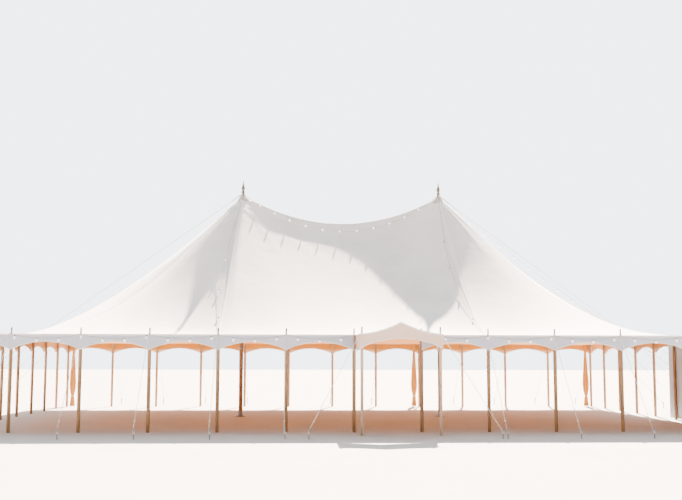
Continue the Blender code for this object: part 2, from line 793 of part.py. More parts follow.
def festoon_cables(shell):
    """Cables that hang on the tent: beside the ridge, down the front from each peak, along the front
    eave and under the right main guy rope."""
    cloth = BVHTree.FromObject(shell, bpy.context.evaluated_depsgraph_get())
    from_peak = COLLAR_RADIUS + GAP
    tie_z = COLLAR_Z + COLLAR_HEIGHT / 6

    def on_cloth(x, y):
        hit = cloth.ray_cast(Vector((x, y, KING_TOP)), Vector((0, 0, -1)))[0]
        return Vector((x, y, hit.z + CABLE_LIFT))

    ends = []
    for _, side in peaks():
        x = side * (PEAK_X - from_peak)
        ends.append([Vector((x, 0, tie_z)), Vector((x - side * CABLE_STRAIGHT, 0, tie_z))])
    reach = PEAK_X - from_peak - 2 * CABLE_STRAIGHT
    ridge = []
    for step in range(CABLE_STEPS + 1):
        share = step / CABLE_STEPS
        x = reach * (2 * share - 1)
        ridge.append(on_cloth(x, -RIDGE_CABLE_SIDE * math.sin(math.pi * share)))
    finished(tube(ends[0] + ridge + ends[1][::-1], CABLE_RADIUS), "festoon_ridge", (CABLE, 0.6))

    for name, side in peaks():
        x = side * PEAK_X
        points = [Vector((x, -from_peak, tie_z)), Vector((x, -from_peak - CABLE_STRAIGHT, tie_z))]
        top_y = -from_peak - 2 * CABLE_STRAIGHT
        low_x, low_y = side * 2 * BAY_LENGTH, -HALF_DEPTH + CANOPY_INSET + CABLE_STRAIGHT
        for step in range(CABLE_STEPS + 1):
            share = step / CABLE_STEPS
            bow = side * FRONT_CABLE_BOW[name] * math.sin(math.pi * share)
            points.append(on_cloth(x + (low_x - x) * share + bow, top_y + (low_y - top_y) * share))
        finished(tube(points, CABLE_RADIUS), f"festoon_front_{name}", (CABLE, 0.6))

    awning_left = AWNING_X - AWNING_HALF_WIDTH - CABLE_STRAIGHT
    awning_right = AWNING_X + AWNING_HALF_WIDTH + CABLE_STRAIGHT
    for name, low, high in (("left", -HALF_LENGTH, awning_left), ("right", awning_right, HALF_LENGTH)):
        finished(eave_cable(low, high), f"festoon_eave_{name}", (CABLE, 0.6))
    finished(guy_cable(1), "festoon_main_guy_right", (CABLE, 0.6))


def eave_cable(low, high):
    """A cable along the front of the band. It hangs in swags in front of the valance between the poles."""
    out = BAND_WIDTH / 2 + GAP + CABLE_RADIUS
    top = BAND_TOP - BAND_THICK / 2
    inner = [k * BAY_LENGTH for k in range(-BAYS_LONG, BAYS_LONG) if low < k * BAY_LENGTH < high]
    ties = [low, *inner, high]
    points = []
    for start, end in zip(ties, ties[1:]):
        sag = EAVE_CABLE_SAG * min(1, (end - start) / BAY_LENGTH)
        for step in range(EAVE_CABLE_STEPS):
            share = step / EAVE_CABLE_STEPS
            height = top - 4 * sag * share * (1 - share)
            points.append(SIDES["front"][2](start + (end - start) * share, out, height))
    points.append(SIDES["front"][2](high, out, top))
    return tube(points, CABLE_RADIUS)


def guy_cable(side):
    """A cable tied under the main guy rope near its two ends, which sags between them."""
    start, end = main_guy_line(side)
    along = (end - start).normalized()
    below = along.cross(Vector((0, 0, 1))).cross(along).normalized() * -1
    under = below * (MAIN_GUY_RADIUS + CABLE_RADIUS * FLAT_OF_ROPE + GAP)
    length = (end - start).length
    first, last = COLLAR_RADIUS, length - GUY_CABLE_END
    points = [start + along * first + under]
    for step in range(CABLE_STEPS + 1):
        share = step / CABLE_STEPS
        place = first + CABLE_STRAIGHT + (last - first - 2 * CABLE_STRAIGHT) * share
        sag = Vector((0, 0, -4 * GUY_CABLE_SAG * share * (1 - share)))
        points.append(start + along * place + under + sag)
    points.append(start + along * last + under)
    return tube(points, CABLE_RADIUS)


def main():
    shell = canopy_panels()
    festoon_cables(shell)
    bpy.data.objects.remove(shell, do_unlink=True)
    side_poles()
    guy_ropes()
    valances()
    king_poles()
    main_guys()
    wall_panel()
    curtains()
    awning_roof()
    awning_valance()
    awning_poles()


main()
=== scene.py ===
"""The looks of the sailcloth pole marquee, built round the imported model. Metres, +Z up, the front faces -Y."""

import math

import bmesh
import bpy
import numpy as np
from mathutils import Matrix, Vector


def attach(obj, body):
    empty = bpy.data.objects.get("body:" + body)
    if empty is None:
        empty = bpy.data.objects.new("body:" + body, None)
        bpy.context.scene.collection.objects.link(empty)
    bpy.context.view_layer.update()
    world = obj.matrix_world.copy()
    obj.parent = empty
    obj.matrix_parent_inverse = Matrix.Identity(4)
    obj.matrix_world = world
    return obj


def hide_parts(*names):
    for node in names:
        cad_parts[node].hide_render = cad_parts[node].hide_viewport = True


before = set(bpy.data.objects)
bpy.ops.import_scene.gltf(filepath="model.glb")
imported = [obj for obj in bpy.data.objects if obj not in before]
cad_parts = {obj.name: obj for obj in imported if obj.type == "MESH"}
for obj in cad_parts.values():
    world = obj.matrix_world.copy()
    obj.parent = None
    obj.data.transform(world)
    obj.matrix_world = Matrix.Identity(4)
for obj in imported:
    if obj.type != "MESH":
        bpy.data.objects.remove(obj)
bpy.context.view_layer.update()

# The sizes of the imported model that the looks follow
BAY_LENGTH = 1.6
BAYS_LONG = 12
BAY_DEPTH = 1.665
BAYS_DEEP = 8
PEAK_X = 3.0
BAND_TOP = 2.27
PEAK_Z = 6.65
RIDGE_LOW_Z = 5.83
RIDGE_POWER = 1.95
FRONT_POWER_LEFT = 1.21
FRONT_POWER_RIGHT = 1.41
END_POWER_LEFT = 1.46
END_POWER_RIGHT = 1.65
HIP_POWER_AT_PEAK = 1.7
HIP_POWER_GAIN = 1.6
RIDGE_PINCH = 0.026
RIDGE_PINCH_REACH = 0.06
CANOPY_INSET = 0.025
HALF_LENGTH = BAY_LENGTH * BAYS_LONG / 2
HALF_DEPTH = BAY_DEPTH * BAYS_DEEP / 2
EDGE_X = HALF_LENGTH - CANOPY_INSET
EDGE_Y = HALF_DEPTH - CANOPY_INSET
EDGE_Z = BAND_TOP + 0.0003
PIN_RADIUS = 0.018
KING_RADIUS = 0.062
COLLAR_RADIUS = 0.095
COLLAR_HEIGHT = 0.026
COLLAR_Z = PEAK_Z + 0.012
EYE_Z = COLLAR_Z + COLLAR_HEIGHT + 0.0003
KING_TOP = EYE_Z + 0.0203
FINIAL_RADIUS = 0.056
FINIAL_HEIGHT = 0.445
GUY_REACH = 2.1
MAIN_GUY_REACH = 3.45
MAIN_GUY_BACK = 3.0
STAKE_RADIUS = 0.0125
STAKE_TIE = 0.16
WALL_BAYS = 3.35
CURTAIN_STEP = 0.19
AWNING_X = 1.0
AWNING_HALF = 0.95
AWNING_REACH = 1.2
AWNING_RISE = 0.27
AWNING_SAG = 0.05
AWNING_POLE_INSET = 0.06
AWNING_GUY_SPREAD = 1.2

# Cloth
TOP_LIFT = 0.006
SKIN = 0.003
THIN_SKIN = 0.002
HEM_OUT = 0.0585
HEM_ROPE_OUT = 0.055
HEM_ROPE_SIZE = 0.011
HEM_ROWS = np.array([0.01, 0.025, 0.035, 0.043, 0.049, 0.055, 0.061, 0.067, 0.075, 0.0835])
CANOPY_ROWS = 92
SOIL_TOP = 2.6
VALANCE_TIP = BAND_TOP - 0.36
VALANCE_CREST = BAND_TOP - 0.17
SCALLOP_POWER = 0.8
SCALLOP_STEPS = 26

# Tapes as (width, depth, lift off the cloth)
LAPPED = (0.028, 0.0014, 0.0)
PEAK_STRAP = (0.1, 0.0022, 0.0008)
STRAP = (0.045, 0.0022, 0.0005)
STRAP_OFF_RIDGE = 0.024
STRAP_OFF_HIP = 0.026
BOUND_EDGE = (0.02, 0.0042, -0.0021)
SEWN_TOP = (0.03, 0.0014, 0.0003)
WALL_HEM = (0.045, 0.0016, 0.0)
WALL_SEAM = (0.03, 0.0016, 0.0)
AWNING_HEM = (0.035, 0.0018, 0.0004)
AWNING_SEAM = (0.03, 0.0018, 0.0006)

# Ropes as (radius, length of one turn of the lay), and how they are laid
STRANDS = 3
STRAND_SIDES = 4
GUY_ROPE = (0.007, 0.06)
MAIN_ROPE = (0.009, 0.06)
LASHING = (0.0045, 0.03)
CURTAIN_TIE = (0.006, 0.04)

# Bulb strings
CABLE_RADIUS = 0.0045
BULB_SIZE = 0.8
CABLE_LIFT = 0.036
UNDER_COLLAR = 0.078
CABLE_UNDER_ROPE = 0.0136
EAVE_CABLE_OUT = 0.0653
EAVE_SAG = 0.09
MAIN_SAG = 0.16
MAIN_STRING_SHORT = 3.2

# The photograph's camera, with its focal length and width in pixels
FOCAL = 1007.02
PHOTO_WIDTH = 682
CAMERA_SPOT = (-1.42966, -30.5504, 1.67468)
CAMERA_PITCH, CAMERA_YAW, CAMERA_ROLL = 0.109187, 0.046709, 0.001762
SENSOR = 36

SUN_HEIGHT, SUN_TURN, SUN_SPREAD = math.radians(35.7), math.radians(10.8), math.radians(0.8)
SUN_POWER = 78.0
SUN_COLOUR = (1.0, 0.8, 0.68)
SKY_COLOUR = (0.9, 0.94, 1.0)
SKY_FRONT, SKY_BACK = 0.74, 5.2
FLOOR_HALF = 150

SEED = 7
CIRCLE = 2 * math.pi
HANDS = (("left", -1), ("right", 1))
LONG_SIDES = (("front", -1), ("back", 1))


# Node materials


def tree_of(name):
    """A new material, its node tree and its shader."""
    made = bpy.data.materials.new(name)
    made.use_nodes = True
    return made, made.node_tree, made.node_tree.nodes["Principled BSDF"]


def feed(tree, socket, value):
    """An input linked to an output, or set to a value. A colour gets its alpha here."""
    if isinstance(value, bpy.types.NodeSocket):
        tree.links.new(value, socket)
    else:
        socket.default_value = (*value, 1) if socket.type == "RGBA" else value


def node(tree, kind, **values):
    """A node of this kind. A value goes to the input of that name or number, or to the node's own property."""
    made = tree.nodes.new(kind)
    for name, value in values.items():
        label = name.replace("_", " ")
        if label in made.inputs:
            feed(tree, made.inputs[label], value)
        elif hasattr(made, name):
            setattr(made, name, value)
        else:
            feed(tree, made.inputs[int(name[1:])], value)
    return made


def dress(tree, surface, **values):
    """The shader's inputs by their names."""
    for name, value in values.items():
        feed(tree, surface.inputs[name.replace("_", " ")], value)


def ramp(tree, factor, *stops):
    """A colour ramp through (place, colour) stops."""
    made = node(tree, "ShaderNodeValToRGB", Fac=factor)
    elements = made.color_ramp.elements
    while len(elements) < len(stops):
        elements.new(0.5)
    for element, (place, colour) in zip(elements, stops):
        element.position = place
        element.color = (*colour, 1)
    return made.outputs["Color"]


def maths(tree, operation, a, b=0.0):
    return node(tree, "ShaderNodeMath", operation=operation, i0=a, i1=b).outputs[0]


def ranged(tree, value, to_low, to_high, low=0.0, high=1.0):
    """A value mapped evenly from low and high to two others, and held at both ends."""
    made = node(tree, "ShaderNodeMapRange", Value=value, From_Min=low, From_Max=high, To_Min=to_low, To_Max=to_high)
    return made.outputs["Result"]


def mixed(tree, factor, a, b, blend="MIX"):
    """Two colours mixed by a factor."""
    return node(tree, "ShaderNodeMix", data_type="RGBA", blend_type=blend, i0=factor, i6=a, i7=b).outputs[2]


def noise(tree, vector, scale, detail=3.0, roughness=0.55):
    made = node(tree, "ShaderNodeTexNoise", Vector=vector, Scale=scale, Detail=detail, Roughness=roughness)
    return made.outputs["Fac"]


def coordinates(tree, kind):
    return tree.nodes.new("ShaderNodeTexCoord").outputs[kind]


def place(tree, stretch=(1, 1, 1)):
    """Object coordinates, stretched."""
    return node(tree, "ShaderNodeMapping", Vector=coordinates(tree, "Object"), Scale=stretch).outputs["Vector"]


def bump(tree, surface, height, strength, distance, under=None):
    """Bump from a height, laid over another bump if one is given."""
    made = node(tree, "ShaderNodeBump", Height=height, Strength=strength, Distance=distance)
    if under is not None:
        feed(tree, made.inputs["Normal"], under)
    feed(tree, surface.inputs["Normal"], made.outputs["Normal"])
    return made.outputs["Normal"]


def canvas(name, light, dark, low_tint=None, glow=None, tips=None):
    """Woven sailcloth: two crossed thread waves, soft creases, faint water stains and a little sheen.

    low_tint is the soiled colour towards the eave. glow is the colour and strength of a painted glow, an emission
    that stands in for the light that shines through. tips is a height, a higher one, and the base colour and painted
    glow colour at the lower of them, for paler tips that are painted as if the sun shone through them.
    """
    made, tree, surface = tree_of(name)
    flat = place(tree)
    stains = noise(tree, place(tree, (0.5, 0.5, 0.22)), 1.6, 5.0, 0.6)
    slubs = noise(tree, place(tree, (1, 1, 0.2)), 42.0)
    colour = ramp(tree, stains, (0.3, dark), (0.56, light), (0.8, light))
    colour = mixed(tree, 0.1, colour, ramp(tree, slubs, (0.35, dark), (0.65, light)), "MULTIPLY")
    # Painted glow: an emission that stands in for sunlight shining through the cloth
    if glow is not None:
        dress(tree, surface, Emission_Color=glow[0], Emission_Strength=glow[1])
    if low_tint is not None or tips is not None:
        height = node(tree, "ShaderNodeSeparateXYZ", Vector=flat).outputs["Z"]
    if low_tint is not None:
        low = maths(tree, "MULTIPLY", maths(tree, "SUBTRACT", SOIL_TOP, height), noise(tree, flat, 3.0, 4.0))
        colour = mixed(tree, ranged(tree, low, 0.0, 0.35, 0.0, 0.6), colour, low_tint)
    # Painted light: below the lower height the cloth gets a paler colour and glow, as if the sun shone through it
    if tips is not None:
        low, high, pale, shine = tips
        share = ranged(tree, height, 1.0, 0.0, low, high)
        colour = mixed(tree, share, colour, pale)
        dress(tree, surface, Emission_Color=mixed(tree, share, glow[0], shine))
    dress(tree, surface, Base_Color=colour, Roughness=0.82, Specular_IOR_Level=0.3)
    dress(tree, surface, Sheen_Weight=0.25, Sheen_Roughness=0.5)
    warp, weft = (
        node(tree, "ShaderNodeTexWave", Vector=flat, Scale=180.0, Distortion=0.4, bands_direction=way).outputs["Fac"]
        for way in ("X", "DIAGONAL")
    )
    under = bump(tree, surface, maths(tree, "MULTIPLY", warp, weft), 0.25, 0.0004)
    creases = noise(tree, place(tree, (1.0, 1.0, 0.35)), 7.0, 4.0, 0.5)
    under = bump(tree, surface, creases, 0.35, 0.004, under)
    bump(tree, surface, noise(tree, flat, 1.1, 2.0), 0.5, 0.02, under)
    return made


def timber(name, tones, roughness, across=26.0, along=1.3):
    """Oiled wood: long grain with darker streaks, small knots and a tone that wanders from pole to pole."""
    made, tree, surface = tree_of(name)
    grain = noise(tree, place(tree, (across, across, along)), 1.0, 8.0, 0.62)
    streaks = noise(tree, place(tree, (across * 3, across * 3, along * 2)), 1.0, 4.0)
    wander = noise(tree, place(tree, (0.7, 0.7, 0.05)), 2.0, 1.0)
    knots = node(tree, "ShaderNodeTexVoronoi", Vector=place(tree, (9, 9, 2.2)), Scale=1.0, feature="F1")
    colour = ramp(tree, grain, *zip((0.3, 0.48, 0.66), tones))
    for share, mask, low, tint, high in (
        (0.35, streaks, 0.4, (0.55, 0.5, 0.45), 0.55),
        (0.5, wander, 0.38, (0.74, 0.7, 0.66), 0.62),
        (1.0, knots.outputs["Distance"], 0.05, (0.45, 0.36, 0.3), 0.14),
    ):
        colour = mixed(tree, share, colour, ramp(tree, mask, (low, tint), (high, (1, 1, 1))), "MULTIPLY")
    dress(tree, surface, Base_Color=colour, Roughness=ranged(tree, grain, roughness - 0.1, roughness + 0.12))
    under = bump(tree, surface, grain, 0.4, 0.0012)
    bump(tree, surface, streaks, 0.35, 0.0006, under)
    return made


def metal(name, colour, roughness, rust, metallic=0.85):
    """Steel with dull patches and a little rust."""
    made, tree, surface = tree_of(name)
    patches = noise(tree, place(tree), 90.0, 4.0)
    spots = noise(tree, place(tree), 30.0, 6.0, 0.7)
    base = ramp(tree, patches, (0.35, tuple(c * 0.62 for c in colour)), (0.6, colour))
    base = mixed(tree, ranged(tree, spots, 0.0, rust, 0.58, 0.7), base, (0.23, 0.1, 0.045))
    dull = ranged(tree, patches, roughness - 0.1, roughness + 0.2)
    dress(tree, surface, Base_Color=base, Metallic=metallic, Roughness=dull)
    bump(tree, surface, patches, 0.3, 0.0006)
    return made


def fibre(name, light, dark):
    """Rope yarns: fine fibres over the laid strands."""
    made, tree, surface = tree_of(name)
    hairs = noise(tree, place(tree, (260, 260, 90)), 1.0)
    soil = noise(tree, place(tree), 5.0, 5.0, 0.6)
    soiled, hairy = (ramp(tree, mask, (low, dark), (0.6, light)) for mask, low in ((soil, 0.35), (hairs, 0.3)))
    dress(tree, surface, Base_Color=mixed(tree, 0.5, soiled, hairy), Roughness=0.9, Sheen_Weight=0.3)
    bump(tree, surface, hairs, 0.5, 0.0006)
    return made


def rubber(name, light, dark, roughness):
    """Weathered cable sheath and sockets."""
    made, tree, surface = tree_of(name)
    dust = noise(tree, place(tree), 25.0, 5.0, 0.6)
    colour = ramp(tree, dust, (0.35, dark), (0.6, light))
    dress(tree, surface, Base_Color=colour, Roughness=ranged(tree, dust, roughness, roughness + 0.25))
    bump(tree, surface, noise(tree, place(tree), 400.0, 2.0), 0.2, 0.0003)
    return made


def frosted_glass(name, light, dark, painted_glow):
    """A frosted bulb with a painted glow of so much, an emission standing in for sunlight caught in the glass."""
    made, tree, surface = tree_of(name)
    haze = noise(tree, place(tree), 60.0)
    colour = ramp(tree, haze, (0.3, dark), (0.7, light))
    dress(tree, surface, Base_Color=colour, Emission_Color=colour, Emission_Strength=painted_glow, Coat_Weight=0.6)
    dress(tree, surface, Roughness=ranged(tree, haze, 0.08, 0.22))
    return made


def stitched(name, light, dark):
    """Webbing tape: ribs across it and two rows of stitches, from the tape's own UV map in metres and shares."""
    made, tree, surface = tree_of(name)
    uv = node(tree, "ShaderNodeSeparateXYZ", Vector=coordinates(tree, "UV"))
    along, across = uv.outputs["X"], uv.outputs["Y"]
    ribs = maths(tree, "SINE", maths(tree, "MULTIPLY", along, 2400.0))
    dash = maths(tree, "GREATER_THAN", maths(tree, "SINE", maths(tree, "MULTIPLY", along, 900.0)), -0.3)
    rows = (
        maths(tree, "LESS_THAN", maths(tree, "ABSOLUTE", maths(tree, "SUBTRACT", across, centre)), 0.035)
        for centre in (0.14, 0.86)
    )
    stitch = maths(tree, "MULTIPLY", maths(tree, "MAXIMUM", *rows), dash)
    soil = noise(tree, place(tree), 6.0, 5.0, 0.6)
    colour = ramp(tree, soil, (0.32, dark), (0.6, light))
    colour = mixed(tree, stitch, colour, tuple(c * 0.72 for c in dark))
    dress(tree, surface, Base_Color=colour, Roughness=0.8, Sheen_Weight=0.2)
    under = bump(tree, surface, ribs, 0.15, 0.0003)
    bump(tree, surface, stitch, 0.8, 0.0008, under)
    return made


# Colour of the painted glow for cloth that the sun shines through
PAINTED_GLOW_AMBER = (1.0, 0.33, 0.015)
CANVAS = canvas("canopy canvas", (0.86, 0.85, 0.83), (0.76, 0.745, 0.72), low_tint=(0.7, 0.67, 0.6))
# Painted light: the underside's orange and its glow stand in for sunlight shining through the white cloth and warm
# light bounced under it
UNDERSIDE_PAINTED_GLOW = canvas("canopy underside painted glow", (0.4, 0.15, 0.015), (0.35, 0.125, 0.012), glow=(PAINTED_GLOW_AMBER, 0.36))
# Painted shade: the valances' darker blue-grey stands in for the shade that the white cloth hangs in
VALANCE_PAINTED_SHADE = canvas("valance canvas painted shade", (0.55, 0.6, 0.72), (0.48, 0.53, 0.63))
# Painted light: the inner face's orange and glow stand in for sunlight shining through the cloth, and its paler,
# brighter tips are painted as lit through by the sun
VALANCE_BACK_PAINTED_GLOW = canvas(
    "valance inside painted glow", (0.42, 0.16, 0.02), (0.36, 0.13, 0.015), glow=(PAINTED_GLOW_AMBER, 0.4),
    tips=(1.97, 2.1, (0.7, 0.5, 0.3), (1.0, 0.62, 0.3)),
)
# Darker than the canopy canvas: partly the collar's own brownish tone, partly painted shade at the peak
COLLAR_CLOTH = canvas("collar canvas and painted shade", (0.5, 0.46, 0.42), (0.42, 0.38, 0.34))
AWNING_FACE = canvas("awning face canvas", (0.72, 0.57, 0.5), (0.64, 0.5, 0.43))
# Painted shade: the wall's blue-grey stands in for the cool shade on the white cloth and offsets the orange bounced
# from the painted underside glow
WALL_PAINTED_SHADE = canvas("wall canvas painted shade", (0.58, 0.68, 0.82), (0.51, 0.6, 0.72))
# Painted light: the curtains' orange and glow stand in for sunlight shining through the cloth and the warm light
# under the canopy
CURTAIN_PAINTED_GLOW = canvas("curtain canvas painted glow", (0.5, 0.22, 0.04), (0.42, 0.17, 0.03), glow=((1.0, 0.36, 0.03), 0.28))
PEAK_TAPE = stitched("peak webbing", (0.93, 0.92, 0.91), (0.84, 0.82, 0.8))
TAPE = stitched("stitched tape", (0.84, 0.83, 0.81), (0.72, 0.7, 0.67))
SEAM = stitched("lapped seam", (0.83, 0.82, 0.8), (0.74, 0.73, 0.71))
TIMBER = timber("oiled larch", ((0.19, 0.095, 0.035), (0.34, 0.185, 0.075), (0.47, 0.285, 0.125)), 0.5)
PALE_TIMBER = timber("pale ash", ((0.4, 0.25, 0.15), (0.57, 0.4, 0.26), (0.7, 0.52, 0.37)), 0.5)
TURNED = timber("turned hardwood", ((0.09, 0.07, 0.055), (0.13, 0.102, 0.082), (0.18, 0.145, 0.118)), 0.6, 40.0, 5.0)
STEEL = metal("galvanised steel", (0.3, 0.31, 0.32), 0.42, 0.4)
PIN_STEEL = metal("blackened steel", (0.028, 0.024, 0.024), 0.75, 0.15, 0.0)
BRASS = metal("dull brass", (0.55, 0.42, 0.2), 0.35, 0.0)
ROPE = fibre("laid rope", (0.86, 0.84, 0.78), (0.66, 0.61, 0.52))
GREY_ROPE = fibre("grey laid rope", (0.4, 0.4, 0.39), (0.26, 0.26, 0.25))
SHEATH = rubber("grey cable sheath", (0.36, 0.355, 0.35), (0.25, 0.245, 0.24), 0.7)
SOCKET = rubber("bulb socket", (0.2, 0.19, 0.18), (0.1, 0.095, 0.09), 0.4)
# Painted light: the ridge and eave bulbs get a painted glow as if sunlit, with a warm tint at the eave
BULB_PAINTED_GLOW = frosted_glass("frosted bulb", (1.0, 0.98, 0.94), (0.93, 0.9, 0.84), 3.0)
EAVE_BULB_PAINTED_GLOW = frosted_glass("rosy bulb painted glow", (1.0, 0.9, 0.86), (0.93, 0.82, 0.78), 2.2)
# Painted shade: the same bulbs on the slopes, made darker grey with no glow
BULB_PAINTED_SHADE = frosted_glass("bulb painted shade", (0.5, 0.49, 0.48), (0.36, 0.35, 0.34), 0.0)


# Mesh building


class Shape:
    """Collects the points and faces of one piece, each face with its material."""

    def __init__(self):
        self.points, self.faces, self.uvs, self.looks = [], [], [], []
        self.count = 0

    def add(self, points, uv, faces, look):
        self.points.append(np.asarray(points, float).reshape(-1, 3))
        self.uvs.append(np.asarray(uv, float).reshape(-1, 2))
        self.faces += (np.asarray(faces) + self.count).tolist()
        self.looks += [look] * len(faces)
        self.count += len(self.points[-1])

    def grid(self, points, uv=None, look=0):
        """A grid of quads over rows x columns x 3 points."""
        rows, columns = points.shape[:2]
        r, c = np.mgrid[0 : rows - 1, 0 : columns - 1]
        a = (r * columns + c).ravel()
        faces = np.stack([a, a + 1, a + columns + 1, a + columns], 1)
        self.add(points, np.zeros((rows, columns, 2)) if uv is None else uv, faces, look)

    def bar(self, points, path, share, look=0):
        """A bar from the rings round its path, with its ends capped. UV is metres along and a share round it."""
        self.grid(points, together(far_along(path)[:, None], share), look)
        for ring in (points[0, :-1][::-1], points[-1, :-1]):
            self.add(ring, np.zeros((len(ring), 2)), [range(len(ring))], look)

    def piece(self, name, *materials, slot=None, stands_for=None, closed=False, depth=0.0):
        """The welded piece, riding on the tent's one body. Faces with no size are dropped.

        A closed one faces outwards. Cloth gets its depth away from its outer face, and the last material there.
        """
        mesh = bpy.data.meshes.new(name)
        mesh.from_pydata(np.concatenate(self.points).tolist(), [], self.faces)
        mesh.polygons.foreach_set("material_index", self.looks)
        uv = np.concatenate(self.uvs)
        corners = np.empty(len(mesh.loops), int)
        mesh.loops.foreach_get("vertex_index", corners)
        mesh.uv_layers.new(name="UVMap").data.foreach_set("uv", uv[corners].ravel())
        bm = bmesh.new()
        bm.from_mesh(mesh)
        bmesh.ops.remove_doubles(bm, verts=bm.verts, dist=0.00002)
        bmesh.ops.dissolve_degenerate(bm, edges=bm.edges, dist=0.00001)
        if closed:
            bmesh.ops.recalc_face_normals(bm, faces=bm.faces)
        bm.to_mesh(mesh)
        bm.free()
        for material in materials:
            mesh.materials.append(material)
        mesh.shade_smooth()
        mesh.set_sharp_from_angle(angle=math.radians(40))
        obj = added(name, mesh)
        if depth:
            solid = obj.modifiers.new("thickness", "SOLIDIFY")
            solid.thickness, solid.offset, solid.material_offset = depth, -1, len(materials) - 1
        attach(obj, "root")
        if stands_for:
            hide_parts(stands_for)
        return obj


def added(name, data):
    obj = bpy.data.objects.new(name, data)
    bpy.context.scene.collection.objects.link(obj)
    return obj


def together(*parts):
    """Arrays of one or several shapes put together as coordinates."""
    return np.stack(np.broadcast_arrays(*parts), -1)


def unit(vectors):
    vectors = np.asarray(vectors, float)
    return vectors / np.maximum(np.linalg.norm(vectors, axis=-1, keepdims=True), 1e-12)


def far_along(path):
    """How far along a path each of its points is."""
    return np.concatenate([[0], np.cumsum(np.linalg.norm(np.diff(path, axis=0), axis=1))])


def points_at(path, far):
    """The points that are so far along a path."""
    reach = far_along(path)
    return np.stack([np.interp(far, reach, path[:, k]) for k in range(3)], -1)


def spaced(path, step):
    """The path with points at an even distance of about step."""
    length = far_along(path)[-1]
    return points_at(path, np.linspace(0, length, max(2, int(math.ceil(length / step)) + 1)))


def carried(path):
    """Two cross directions along a path, turned as little as possible."""
    tangent = unit(np.gradient(path, axis=0))
    start = (0, 0, 1) if abs(tangent[0][2]) < 0.9 else (1, 0, 0)
    side = np.empty_like(tangent)
    side[0] = unit(np.cross(tangent[0], start))
    for k in range(1, len(path)):
        side[k] = unit(side[k - 1] - tangent[k] * side[k - 1].dot(tangent[k]))
    return side, np.cross(tangent, side)


def tube(shape, path, radius, sides=8):
    """A round bar along a path. The radius may change along it."""
    side, up = carried(path)
    turn = np.linspace(0, CIRCLE, sides + 1)
    radius = np.broadcast_to(radius, len(path))[:, None, None]
    ring = np.cos(turn)[None, :, None] * side[:, None] + np.sin(turn)[None, :, None] * up[:, None]
    points = path[:, None] + radius * ring
    points[:, -1] = points[:, 0]
    shape.bar(points, path, np.linspace(0, 1, sides + 1))


def laid_rope(shape, path, radius, pitch):
    """A rope of strands laid round its path, one turn in each pitch."""
    path = spaced(path, pitch / 5)
    side, up = carried(path)
    for k in range(STRANDS):
        turn = (far_along(path) / pitch + k / STRANDS) * CIRCLE
        centre = path + radius * 0.48 * (np.cos(turn)[:, None] * side + np.sin(turn)[:, None] * up)
        tube(shape, centre, radius * 0.54, STRAND_SIDES)


def tape(shape, path, normals, width, depth, lift, look=0):
    """A flat tape along a path, square to the normals, from lift above the path."""
    normals = unit(normals)
    across = unit(np.cross(unit(np.gradient(path, axis=0)), normals)) * width / 2
    low, high = path + normals * lift, path + normals * (lift + depth)
    points = np.stack([low - across, low + across, high + across, high - across, low - across], 1)
    shape.bar(points, path, np.array([0, 1, 1, 0, 0.0]), look)


def lathe(shape, profile, centre, sides=24, axis=(0, 0, 1), look=0):
    """A profile of (radius, height) turned round an axis through the centre."""
    turn = np.linspace(0, CIRCLE, sides + 1)
    matrix = np.array(Vector(axis).to_track_quat("Z", "Y").to_matrix())
    radius, height = np.asarray(profile, float).T[:, :, None]
    points = together(radius * np.cos(turn), radius * np.sin(turn), height)
    points[:, -1] = points[:, 0]
    shape.grid(points @ matrix.T + np.asarray(centre, float), look=look)


def smooth_profile(pairs, per):
    """Points on a smooth curve through (radius, height) pairs, so many for each."""
    pairs = np.asarray(pairs, float)
    padded = np.vstack([2 * pairs[0] - pairs[1], pairs, 2 * pairs[-1] - pairs[-2]])
    made = []
    for k in range(1, len(padded) - 2):
        p0, p1, p2, p3 = padded[k - 1 : k + 3]
        for t in np.arange(per) / per:
            square, cube = 2 * p0 - 5 * p1 + 4 * p2 - p3, 3 * p1 - p0 - 3 * p2 + p3
            made.append(0.5 * (2 * p1 + (p2 - p0) * t + square * t**2 + cube * t**3))
    made = np.array([*made, pairs[-1]])
    made[:, 0] = np.maximum(made[:, 0], 0)
    return made


# The canopy


def swoop(x, y):
    """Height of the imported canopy's underside. Its powers change evenly from the left peak to the right one."""
    to_right = np.clip((x + PEAK_X) / (2 * PEAK_X), 0, 1)
    front_power = FRONT_POWER_LEFT + (FRONT_POWER_RIGHT - FRONT_POWER_LEFT) * to_right
    end_power = END_POWER_LEFT + (END_POWER_RIGHT - END_POWER_LEFT) * to_right
    across = np.clip(np.abs(y) / EDGE_Y, 0, 1)
    to_peak = np.clip(np.abs(x) / PEAK_X, 0, 1)
    top = RIDGE_LOW_Z + (PEAK_Z - RIDGE_LOW_Z) * to_peak**RIDGE_POWER
    pinch = RIDGE_PINCH * (1 - to_peak**4)
    beside_ridge = pinch * (1 - across) * np.exp(-across / RIDGE_PINCH_REACH)
    middle = EDGE_Z + (top - EDGE_Z) * ((1 - pinch) * (1 - across) ** front_power + beside_ridge)
    along = np.clip((np.abs(x) - PEAK_X) / (EDGE_X - PEAK_X), 0, 1)
    out = np.maximum(across, along)
    straight = np.where(across > along, front_power, end_power)
    near_hip = np.minimum(across, along) / np.maximum(out, 1e-9)
    power = straight + (HIP_POWER_AT_PEAK + HIP_POWER_GAIN * out - straight) * near_hip**2
    end = EDGE_Z + (PEAK_Z - EDGE_Z) * (1 - out) ** power
    return np.where(np.abs(x) <= PEAK_X, middle, end)


